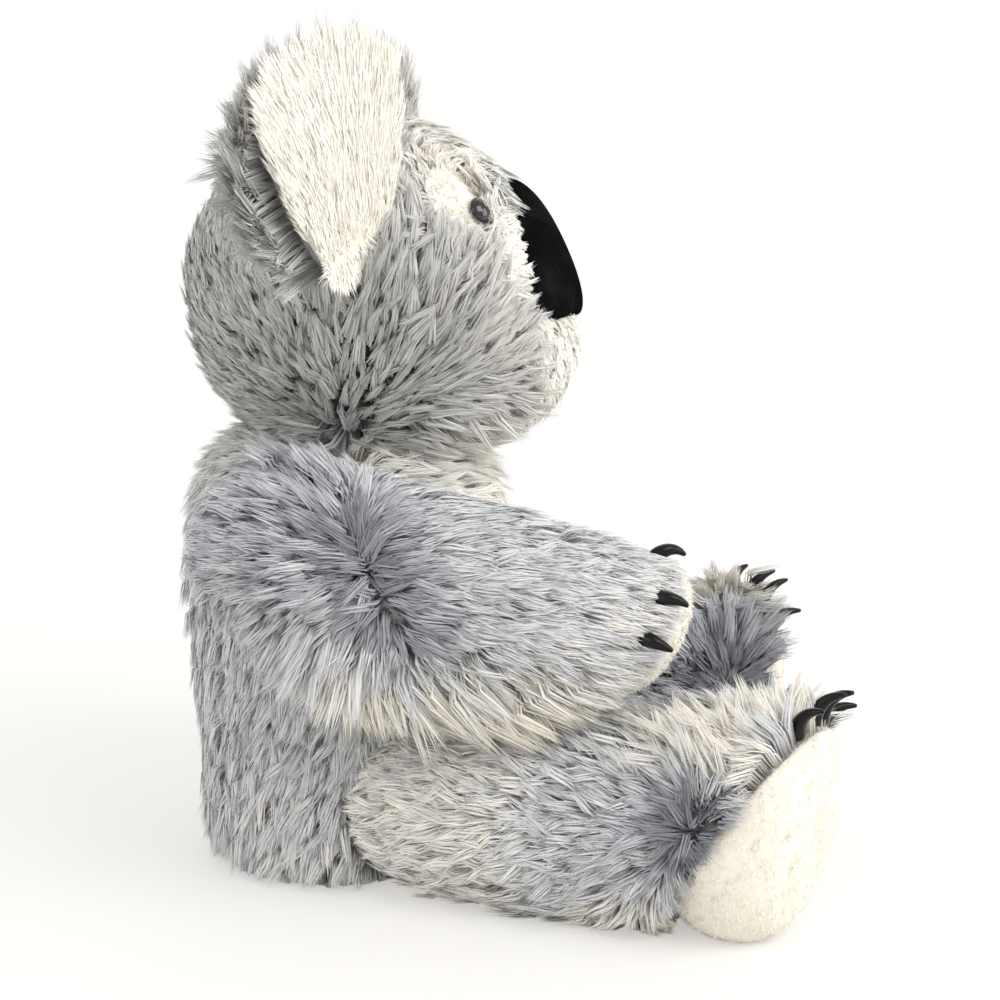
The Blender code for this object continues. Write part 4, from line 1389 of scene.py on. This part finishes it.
@dataclass
class Leg(Limb):
    """A leg with a ball at the hip, and a foot whose sole faces forwards; a row ends in lift and tilt."""

    radius: float = 0.031
    reach: float = 0.112
    cap_share: float = 0.22
    splay: float = math.radians(22)
    lift: float = 0.008
    sole_pitch: float = math.radians(35)
    sole_yaw: float = math.radians(-8)
    shares: tuple[tuple[float, ...], ...] = (
        (0.10, 0.927, 0.927, 0.0, 0.0),
        (0.25, 0.975, 0.955, 0.0, 0.0),
        (0.45, 1.0, 0.975, 0.0, 0.0),
        (0.62, 0.985, 0.945, 0.04, 0.04),
        (0.77, 1.05, 0.97, 0.1, 0.25),
        (0.90, 1.2, 1.04, 0.5, 0.62),
        (1.0, 1.32, 1.09, 1.0, 1.0),
    )

    def frame_at(self, along: Array, values: Array) -> tuple[Array, Array, Array, Array]:
        """The centre line runs level and lifts at the foot, where the rings tilt to the sole."""
        tall, wide, lift, tilt = np.moveaxis(values, -1, 0)
        ahead, upwards, outwards = self.axes(self.sole_pitch * tilt, self.sole_yaw * tilt)
        centre = np.stack([along, 0 * along, self.lift * lift], -1)
        up = upwards * (self.radius * tall)[..., None]
        return centre, up, outwards * (self.radius * wide)[..., None], ahead

    def trimmed(self, points: Array, centre: Array) -> Array:
        """The side on the floor is flat."""
        return np.stack([points[..., 0], points[..., 1], points[..., 2].clip(-HIP[2])], -1)

    def placed(self, points: Array) -> Array:
        """Turns the leg out about its hip and moves it there."""
        turned = rotated(points, 0, 1, self.side.value * self.splay)
        return turned + np.array([HIP[0], self.side.value * HIP[1], HIP[2]])

    def whorls(self) -> Array:
        """The whorls by the sole: on the outer side, on the inner side and by the toes."""
        outer = self.side.value * 0.031
        return np.array([(0.105, outer, 0.012), (0.105, -outer, 0.014), (0.131, outer * 0.62, 0.0355)])

    def instep(self, points: Array) -> Array:
        """1 on the top of the foot, 0 elsewhere."""
        return smooth(0.014, 0.034, points[:, 2]) * smooth(0.055, 0.085, points[:, 0])

    def heel(self, points: Array) -> Array:
        """1 low by the sole, 0 elsewhere."""
        return smooth(-0.004, -0.022, points[:, 2]) * smooth(0.048, 0.085, points[:, 0])

    def comb(self, points: Array) -> Array:
        """Away from the whorls and back to the hip, over the sole's edge, up the instep, down the heel."""
        _, y, z = points.T
        low = smooth(0.0, -0.02, z)
        way = away_from(points, self.whorls(), 0.015)
        way[:, 0] += 1.5 * smooth(0.010, 0.002, self.past_seam(points)) * smooth(0.03, 0.02, z) - 0.25
        way[:, 1] += 0.9 * low * np.sign(y)
        way[:, 2] += 0.25 * smooth(0.0, 0.03, z) - 0.3 * low - 0.5 * self.heel(points)
        return way

    def nap(self, points: Array) -> Array:
        """Longer on the instep and at the heel, shorter by the hip and at the sole's seam."""
        short = 0.002 * smooth(0.03, 0.0, points[:, 0])
        full = 0.0108 + 0.0045 * self.instep(points) + 0.004 * self.heel(points) - short
        return np.minimum(full, 0.0065 + 0.9 * self.past_seam(points).clip(0) + 0.008 * self.instep(points))

    def rise(self, points: Array) -> Array:
        """Upright on the instep and at the whorls."""
        whorl = bell(nearest(points, self.whorls()), 0.006)
        return np.radians(22 + 32 * np.maximum(self.instep(points), whorl))

    def tone(self, points: Array) -> Array:
        """Pale to the hip, grey by the sole, dark at the whorls and inside, pale on instep and heel."""
        x, y, z = points.T
        small = smooth(0.018, 0.028, z)
        dark = (0.42 - 0.12 * small) * bell(nearest(points, self.whorls()), 0.014 - 0.007 * small)
        inner = smooth(0.004, -0.012, self.side.value * y) * smooth(0.05, 0.08, x) * smooth(0.042, 0.030, z)
        pale = 0.40 * self.instep(points) * (1 - 0.8 * inner) + 0.48 * self.heel(points)
        return 0.42 - dark + 0.30 * smooth(0.068, 0.030, x) + pale - 0.26 * inner

    def grows(self, points: Array) -> Array:
        """Denser at the whorls, and none inside the torso or flat on the floor."""
        hidden = Torso().holds(self.placed(points), -0.0005)
        full = 1 + 1.5 * bell(nearest(points, self.whorls()), 0.007)
        return full * (1.0 - (hidden | (points[:, 2] < 0.0012 - HIP[2])))


@dataclass
class Ear(Form):
    """One face of an ear: a cupped leaf between its base on the head and its rim."""

    side: Side = Side.RIGHT
    height: float = 0.068
    half_width: float = 0.029
    cup: float = 0.011
    back_thickness: float = 0.013
    lining_thickness: float = 0.004
    rim_share: float = 0.22
    yaw: float = math.radians(92)
    pitch: float = math.radians(7)
    seat: float = 0.0058
    facing_angle: float = math.radians(42)
    lean_out: float = math.radians(25)
    lean_back: float = math.radians(17)
    outline: tuple[tuple[float, float], ...] = (
        (0.0, 0.34),
        (0.2, 0.62),
        (0.45, 0.84),
        (0.65, 0.95),
        (0.84, 0.97),
        (0.95, 0.74),
        (1.0, 0.4),
    )
    lining: bool = False

    def axes(self) -> Array:
        """The ear's own axes as columns: across, through to the lining, and up."""
        sign = self.side.value
        upwards = unit(np.array([-math.sin(self.lean_back), sign * math.sin(self.lean_out), 1.0]))
        facing = np.array([math.cos(self.facing_angle), sign * math.sin(self.facing_angle), 0.0])
        facing = unit(facing - upwards * (facing @ upwards))
        return np.stack([np.cross(facing, upwards), facing, upwards], 1)

    def placed(self, points: Array) -> Array:
        """Turns the ear and moves it to its place on the head."""
        base = Head().over(np.array(self.side.value * self.yaw), np.array(self.pitch), self.seat)
        return points @ self.axes().T + base

    def leaf(self, across: Array, up: Array, middle: float, rim: float) -> Array:
        """x = w(up) across, y = cup + rim + (middle - rim) sqrt(1 - across^2) sin(pi up^1.2), z = h up.

        Args:
            across: From -1 to 1, over the width that the rounded outline gives.
            up: Shares of the height.
            middle: The depth at the middle.
            rim: The depth at the rim.

        Returns:
            Places in the ear's own place.
        """
        table = np.array(self.outline)
        grid = np.linspace(0, 1, 200)
        window = 9
        padded = np.pad(np.interp(grid, table[:, 0], table[:, 1]), window // 2, mode="edge")
        rounded = np.convolve(padded, np.ones(window) / window, mode="valid")
        half = self.half_width * np.interp(up, grid, rounded)
        bow = self.cup * (across * half / self.half_width) ** 2
        full = np.sqrt((1 - across**2).clip(0)) * np.sin(math.pi * up.clip(0, 1) ** 1.2).clip(0)
        return np.stack([across * half, bow + rim + (middle - rim) * full, self.height * up], -1)

    def depths(self) -> tuple[float, float]:
        """The outer face's depth at its middle and at its rim."""
        middle = self.lining_thickness if self.lining else -self.back_thickness
        return middle, self.rim_share * middle

    def points(self, u: Array, v: Array) -> Array:
        """The outer face, u across from -1 to 1 and v up."""
        return self.leaf((np.asarray(u) * 2 - 1).clip(-1, 1), np.asarray(v).clip(0, 1), *self.depths())

    def facing(self) -> float:
        """dS/du x dS/dv points away from the lining, because x cross z is -y."""
        return -1.0 if self.lining else 1.0

    def solid(self, name: str, across: int = 24, up: int = 30) -> bpy.types.Object:
        """The closed padded leaf between the outer face and the seam plane.

        Args:
            name: The piece's name.
            across: Points across.
            up: Points up.

        Returns:
            The object.
        """
        inner = CLEARANCE if self.lining else 0.0
        turn = np.linspace(0, 2 * math.pi, across * 2, endpoint=False)
        turn, rows = np.meshgrid(turn, np.linspace(0, 1, up))
        outer = self.leaf(np.cos(turn), rows, *self.depths())
        flat = self.leaf(np.cos(turn), rows, inner, inner)
        return closed_rings(name, self.placed(np.where((np.sin(turn) > 0)[..., None], outer, flat)))

    def rear(self, points: Array) -> Array:
        """1 at the rim that is towards the back of the head, 0 from the middle on and at the tip."""
        across = -self.side.value * points[:, 0] / self.half_width
        return smooth(0.1, 0.6, across) * smooth(0.95, 0.7, points[:, 2] / self.height)

    def comb(self, points: Array) -> Array:
        """Up the ear and out towards its rim, and down at the lining's foot."""
        way = np.zeros_like(points)
        way[:, 2] = 1.0 - 2.0 * self.lining * smooth(0.16, 0.06, points[:, 2] / self.height)
        way[:, 0] = points[:, 0] / self.half_width * (0.55 if self.lining else 0.9)
        if not self.lining:
            way[:, 0] -= self.side.value * 1.6 * self.rear(points)
        return way

    def nap(self, points: Array) -> Array:
        """Longer at the lining's top and at the back's rear rim."""
        share = points[:, 2] / self.height
        if self.lining:
            return 0.006 + 0.003 * smooth(0.05, 0.25, share) + 0.0032 * share**2
        return 0.0135 - 0.002 * share + 0.007 * self.rear(points)

    def rise(self, points: Array) -> float:
        """Flat on the lining, fuller on the back."""
        return math.radians(8 if self.lining else 40)

    def tone(self, points: Array) -> float:
        """White lining, pale grey back."""
        return 0.85 if self.lining else 0.47


@dataclass
class Dome(Form):
    """An oval piece on the head: a low wall, then a dome over the yaw and pitch of its middle."""

    side: Side = Side.RIGHT
    yaw: float = 0.0
    pitch: float = 0.0
    half_width: float = 0.01
    half_height: float = 0.01
    wall: float = 0.1
    foot: float = 0.9
    edge: float = 0.0
    bulge: float = 0.001
    power: float = 0.5

    def outline(self, turn: Array) -> tuple[Array, Array]:
        """The outline's shares across and up."""
        return np.cos(turn), np.sin(turn)

    def points(self, u: Array, v: Array) -> Array:
        """Over the head at yaw = y + s w across, pitch = p + s h up, height e + b sin(a)^power, s = cos a.

        Args:
            u: Shares round the piece.
            v: Shares from its rim to its middle, the wall's first.

        Returns:
            Places in the koala's place.
        """
        head = Head()
        yaw = self.side.value * self.yaw
        radius = float(head.radius(np.array(yaw), np.array(self.pitch)))
        angle = math.pi / 2 * np.clip((v - self.wall) / (1 - self.wall), 0, 1)
        climb = v / self.wall
        share = np.where(v < self.wall, self.foot + (1 - self.foot) * climb, np.cos(angle))
        full = self.edge + self.bulge * np.sin(angle) ** self.power
        over = np.where(v < self.wall, self.edge * climb, full)
        across, up = self.outline(2 * math.pi * u)
        yaws = yaw + share * self.half_width / (radius * math.cos(self.pitch)) * across
        pitches = self.pitch + share * self.half_height / radius * up
        return head.over(yaws, pitches, over + CLEARANCE)


@dataclass
class Nose(Dome):
    """The nose pad, a rounded triangle that is broader at its foot."""

    pitch: float = math.radians(13)
    half_width: float = 0.02145
    half_height: float = 0.0235
    wall: float = 0.12
    foot: float = 0.8
    edge: float = 0.0012
    bulge: float = 0.0108
    power: float = 0.8
    pear_share: float = 0.3
    jowl_share: float = 0.62
    top_power: float = 0.9
    jowl_power: float = 0.28

    def outline(self, turn: Array) -> tuple[Array, Array]:
        """Across is cos t to a power, with its sign kept, times 1 - k sin t, and up is sin t."""
        low = np.sin(turn) < 0
        cosine = np.cos(turn)
        filled = np.sign(cosine) * np.abs(cosine) ** np.where(low, self.jowl_power, self.top_power)
        return filled * (1 - np.where(low, self.jowl_share, self.pear_share) * np.sin(turn)), np.sin(turn)


@dataclass
class EyePatch(Dome):
    """The white fabric round an eye, a thin oval with a short pile."""

    yaw: float = math.radians(51)
    pitch: float = math.radians(32)
    half_width: float = 0.0125
    half_height: float = 0.0135
    bulge: float = 0.0012
    pile: float = 0.0016
    angle: float = math.radians(58)
    shade: float = 0.9
    clear_yaw: float = math.radians(46)
    clear_radius: float = 0.085

    def comb(self, points: Array) -> Array:
        """Up and back over the rim."""
        return np.array([-0.7, self.side.value * 0.2, 0.8])

    def grows(self, points: Array) -> Array:
        """Only on the upper face, clear of the eye."""
        yaw, pitch = Head().angles(points)
        aside = (np.abs(yaw) - self.clear_yaw) * np.cos(pitch)
        return (np.hypot(aside, pitch - self.pitch) > self.clear_radius).astype(float)


@dataclass
class Dresser:
    """Puts pieces on their bodies and reports them."""

    frame: dict

    def dress(
        self,
        piece: bpy.types.Object,
        body: str,
        slot: str,
        finish: Finish | None = None,
        replaced: tuple[str, ...] = (),
        fill: float | None = None,
    ) -> None:
        """Finishes a piece.

        Args:
            piece: The object.
            body: The body it rides on.
            slot: The record's material slot; not used.
            finish: Its finish, or None if it has one.
            replaced: The CAD nodes that it stands for.
            fill: How full it is, if it is padded; not used.
        """
        if finish is not None:
            piece.data.materials.clear()
            piece.data.materials.append(finish.material())
        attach(piece, body)
        if replaced:
            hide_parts(*replaced)
        LOG.info("%s: %d faces on %s", piece.name, len(piece.data.polygons), body)

    def inner(self, node: str, finish: CoatFinish) -> None:
        """Gives an inner CAD node its finish."""
        mesh = self.frame["nodes"][node].data
        mesh.materials.clear()
        mesh.materials.append(finish.material())
        LOG.info("%s: inner piece", node)


@dataclass
class TorsoParts:
    """The torso with its grey fur, bib, stuffing and pellets."""

    dresser: Dresser
    grid: tuple[int, int] = (96, 64)
    fur: Locks = Locks(2720, gather=0.38, uneven=0.24, ruffle=0.22, seed=10)
    bib: Locks = Locks(1500, seed=13)

    def build(self) -> None:
        """Builds the coat and both pelts."""
        put = self.dresser.dress
        coat = Torso().mesh("torso_coat", *self.grid)
        put(coat, "torso", "grey_fur", GREY_COAT, ("torso_back_skin", "belly_panel"), fill=0.9)
        for number in (1, 2):
            fur = replace(self.fur, seed=self.fur.seed + number)
            put(fur.grow(f"torso_fur_{number}", GreyTorso(), LIMB_FUR), "torso", "grey_fur")
        put(self.bib.grow("bib_fur", Bib(), WHITE_FUR), "torso", "pale_fur")
        self.dresser.inner("torso_stuffing", FIBRE)
        self.dresser.inner("pellet_bag", CLOTH)


@dataclass
class HeadParts:
    """The head with fur, muzzle, nose and eyes."""

    dresser: Dresser
    grid: tuple[int, int] = (96, 72)
    nose_grid: tuple[int, int] = (72, 40)
    patch_grid: tuple[int, int] = (48, 20)
    fur: Locks = Locks(3500, gather=0.68, ruffle=0.28, seed=20)
    muzzle: Locks = Locks(2200, hairs=14, ruffle=0.4, seed=24)
    eye_pile: Locks = Locks(300, hairs=8, spread=0.0012, width=0.00018, gather=0.1, seed=27)

    def build(self) -> None:
        """Builds the coat, the pelts and the face's pieces."""
        put = self.dresser.dress
        coat = Head().mesh("head_coat", *self.grid)
        put(coat, "head", "grey_fur", GREY_COAT, ("face_skin", "head_back_skin", "muzzle_panel"), fill=0.9)
        for number in (1, 2):
            fur = replace(self.fur, seed=self.fur.seed + number)
            put(fur.grow(f"head_fur_{number}", GreyHead(), HEAD_FUR), "head", "grey_fur")
        put(self.muzzle.grow("muzzle_fur", Muzzle(), WHITE_FUR), "head", "pale_fur")
        nose = Nose().mesh("nose", *self.nose_grid)
        put(nose, "head", "black_velour", VELOUR, ("nose_pad",), fill=1.0)
        self.dresser.inner("head_stuffing", FIBRE)
        for side in Side:
            patch = EyePatch(side)
            fabric = patch.mesh(side.named("eye_fabric"), *self.patch_grid)
            put(fabric, "head", "pale_fur", EYE_PLUSH, (side.named("eye_patch"),))
            put(self.eye_pile.grow(side.named("eye_pile"), patch, WHITE_FUR), "head", "pale_fur")
            eye = side.named("eye")
            put(refined_copy(eye, side.named("eye_dome")), "head", "black_gloss", EYE_GLOSS, (eye,))
            self.dresser.inner(side.named("eye_washer"), WASHER)


@dataclass
class EarParts:
    """One ear: the grey back, the white lining and the fur of both."""

    dresser: Dresser
    side: Side
    fur: Locks = Locks(1300, gather=0.4, seed=31)
    fluff: Locks = Locks(1600, spread=0.003, width=0.00028, gather=0.25, ruffle=0.09, seed=32)

    def build(self) -> None:
        """Builds both leaves and both pelts."""
        put = self.dresser.dress
        ear = self.side.named("ear")
        back, lining = Ear(self.side), Ear(self.side, lining=True)
        put(back.solid(f"{ear}_back_coat"), ear, "grey_fur", GREY_COAT, (f"{ear}_back",), fill=0.7)
        put(lining.solid(f"{ear}_lining_coat"), ear, "pale_fur", WHITE_COAT, (f"{ear}_lining",), fill=0.5)
        put(self.fur.grow(f"{ear}_back_fur", back, HEAD_FUR), ear, "grey_fur")
        put(self.fluff.grow(f"{ear}_lining_fur", lining, WHITE_FUR), ear, "pale_fur")


@dataclass
class LimbParts:
    """One limb: the coat, its fur, the pad with its pile, the stuffing and the claws.

    body, pad and tip begin its pieces' names, a grid is points round and along, a fill is how
    full it is, and dome and opens shape the pad.
    """

    dresser: Dresser
    side: Side
    body: str
    pad: str
    tip: str
    grid: tuple[int, int]
    fill: float
    fur: Locks
    dome: float
    opens: float
    pad_grid: tuple[int, int]
    pad_fill: float
    pile: Locks
    claws: int = 4

    def limb(self) -> Limb:
        """The limb's form."""
        raise NotImplementedError

    def build(self) -> None:
        """Builds the limb from the fields that the arm and the leg give."""
        put = self.dresser.dress
        body, pad = self.side.named(self.body), self.side.named(self.pad)
        limb = self.limb()
        end = Pad(limb, self.dome, self.opens)
        coat = limb.mesh(f"{body}_coat", *self.grid)
        put(coat, body, "grey_fur", GREY_COAT, (f"{body}_skin",), fill=self.fill)
        put(self.fur.grow(f"{body}_fur", limb, LIMB_FUR), body, "grey_fur")
        dome = end.mesh(pad, *self.pad_grid)
        put(dome, body, "cream_plush", CREAM_PLUSH, (f"{pad}_pad",), fill=self.pad_fill)
        put(self.pile.grow(f"{pad}_pile", end, PILE), body, "cream_plush")
        self.dresser.inner(f"{body}_stuffing", FIBRE)
        for number in range(1, self.claws + 1):
            claw = self.side.named(f"{self.tip}_claw_{number}")
            hook = refined_copy(claw, self.side.named(f"{self.tip}_hook_{number}"))
            put(hook, body, "black_leatherette", CLAW_GLOSS, (claw,))


@dataclass
class ArmParts(LimbParts):
    """One arm. The left one lies lower than the right one, and turns outwards beside the leg."""

    body: str = "arm"
    pad: str = "palm"
    tip: str = "hand"
    grid: tuple[int, int] = (64, 56)
    fill: float = 0.85
    fur: Locks = Locks(3500, spread=0.0026, gather=0.38, uneven=0.24, ruffle=0.18, seed=41)
    dome: float = 0.007
    opens: float = 0.0
    pad_grid: tuple[int, int] = (56, 22)
    pad_fill: float = 0.8
    pile: Locks = Locks(800, hairs=8, spread=0.0014, width=0.00014, gather=0.2, ruffle=0.6, seed=42)
    left_sag: float = 0.005
    left_turn_in: float = -0.054
    left_turn_power: float = 1.3
    left_hand_yaw: float = math.radians(-6)

    def limb(self) -> Limb:
        """The arm's form."""
        if self.side is Side.RIGHT:
            return Arm(self.side)
        return Arm(
            self.side,
            lowered=LEFT_ARM_LOWERED,
            sag=self.left_sag,
            turn_in=self.left_turn_in,
            turn_power=self.left_turn_power,
            hand_yaw=self.left_hand_yaw,
        )


@dataclass
class LegParts(LimbParts):
    """One leg. The sole opens like a fan."""

    body: str = "leg"
    pad: str = "sole"
    tip: str = "foot"
    grid: tuple[int, int] = (64, 64)
    fill: float = 0.9
    fur: Locks = Locks(3400, spread=0.0024, gather=0.42, uneven=0.24, seed=51)
    dome: float = 0.008
    opens: float = math.radians(25)
    pad_grid: tuple[int, int] = (72, 30)
    pad_fill: float = 0.9
    pile: Locks = Locks(2000, hairs=8, spread=0.0016, width=0.00014, gather=0.2, ruffle=0.6, seed=52)

    def limb(self) -> Limb:
        """The leg's form."""
        return Leg(self.side)


@dataclass
class Studio:
    """A pale floor, soft lamps and the camera."""

    aim: Triple = (0.0567, 0.0, 0.130)
    distance: float = 0.800
    elevation: float = math.radians(10.5)
    sensor: float = 36
    focal_share: float = 2.216
    lamp_aim: Triple = (0.04, 0, 0.12)
    lamp_colour: Triple = (1.0, 0.99, 0.97)
    backdrop: Triple = (1.0, 1.0, 0.995)
    ambient: float = 0.76
    lamps: tuple[tuple[str, Triple, float, float], ...] = (
        ("key_lamp", (0.9, -0.9, 1.3), 1.0, 12),
        ("side_lamp", (1.5, -0.3, 0.6), 1.0, 8),
        ("fill_lamp", (-0.9, -1.0, 0.7), 1.2, 5),
        ("back_lamp", (0.2, 1.2, 1.0), 1.2, 5),
    )
    paper: Triple = (0.84, 0.82, 0.78)
    paper_seen: Triple = (0.47, 0.46, 0.445)
    paper_glow: Triple = (1.0, 0.985, 0.95)
    paper_glow_power: float = 0.50
    floor_radius: float = 4
    floor_points: int = 96
    floor_drop: float = 0.0002
    fade_scale: float = 1.1

    def turned(self, thing: bpy.types.Object, away: Vector) -> None:
        """Turns a lamp or the camera so that it looks against a direction."""
        thing.rotation_euler = (-away).to_track_quat("-Z", "Y").to_euler()

    def camera(self) -> None:
        """The camera looks along +Y from a little above."""
        data = bpy.data.cameras.new("camera")
        data.sensor_width = self.sensor
        data.lens = self.sensor * self.focal_share
        data.clip_start = 0.01
        eye = linked("camera", data)
        away = Vector((0, -math.cos(self.elevation), math.sin(self.elevation)))
        eye.location = Vector(self.aim) + away * self.distance
        self.turned(eye, away)
        bpy.context.scene.camera = eye

    def lamp(self, name: str, place: Triple, size: float, power: float) -> None:
        """An area lamp that looks at the koala.

        Args:
            name: The lamp's name.
            place: Where it stands.
            size: The side of its square.
            power: Its power in watts.
        """
        data = bpy.data.lights.new(name, "AREA")
        data.size = size
        data.energy = power
        data.color = self.lamp_colour
        lamp = linked(name, data)
        lamp.location = place
        self.turned(lamp, Vector(place) - Vector(self.lamp_aim))

    def world(self) -> None:
        """An even white surround that also lights the koala."""
        world = bpy.data.worlds.new("surround")
        world.use_nodes = True
        nodes = Nodes(world.node_tree)
        back = nodes.tree.nodes["Background"]
        back.inputs["Color"].default_value = (1.0, 1.0, 1.0, 1)
        back.inputs["Strength"].default_value = self.ambient
        white = nodes.node("ShaderNodeBackground")
        white.inputs["Color"].default_value = (*self.backdrop, 1)
        both = nodes.seen(back.outputs["Background"], white.outputs["Background"])
        nodes.join(both, nodes.tree.nodes["World Output"].inputs["Surface"])
        bpy.context.scene.world = world

    def floor(self) -> None:
        """A round floor that keeps the koala's shadow and fades to white far away."""
        turn = np.linspace(0, 2 * math.pi, self.floor_points, endpoint=False)
        rim = self.floor_radius * np.stack([np.cos(turn), np.sin(turn), 0 * turn], -1)
        floor = mesh_object("floor", rim, np.arange(self.floor_points)[None])
        floor.location.z = -self.floor_drop
        shader = Shader("floor_paper", roughness=0.9)
        shader.surface.inputs["Base Color"].default_value = (*self.paper, 1)
        dull = shader.node("ShaderNodeBsdfDiffuse")
        dull.inputs["Color"].default_value = (*self.paper_seen, 1)
        both = shader.node("ShaderNodeAddShader")
        shader.join(dull.outputs["BSDF"], both.inputs[0])
        shader.join(shader.glow(self.paper_glow, self.paper_glow_power), both.inputs[1])
        gradient = shader.node("ShaderNodeTexGradient", gradient_type="SPHERICAL")
        mapping = shader.node("ShaderNodeMapping")
        mapping.inputs["Scale"].default_value = (self.fade_scale,) * 3
        shader.join(shader.node("ShaderNodeTexCoord").outputs["Object"], mapping.inputs["Vector"])
        shader.join(mapping.outputs["Vector"], gradient.inputs["Vector"])
        near = shader.ramp(gradient.outputs["Fac"], (0.05, (0, 0, 0)), (0.6, (1, 1, 1)))
        shown = shader.either(near, shader.glow(self.backdrop), both.outputs["Shader"])
        paper = shader.seen(shader.surface.outputs["BSDF"], shown)
        shader.join(paper, shader.tree.nodes["Material Output"].inputs["Surface"])
        floor.data.materials.append(shader.material)

    def build(self) -> None:
        """Sets the stage."""
        self.camera()
        self.world()
        self.floor()
        for lamp in self.lamps:
            self.lamp(*lamp)
        bpy.context.scene.view_settings.view_transform = "Standard"
        LOG.info("studio set")


def main() -> None:
    """Builds the studio, then every part of the koala."""
    logging.basicConfig(level=logging.INFO, format="%(name)s: %(message)s")
    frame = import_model()
    dresser = Dresser(frame)
    Studio().build()
    TorsoParts(dresser).build()
    HeadParts(dresser).build()
    for side in Side:
        EarParts(dresser, side).build()
        ArmParts(dresser, side).build()
        LegParts(dresser, side).build()


if __name__ == "__main__":
    main()
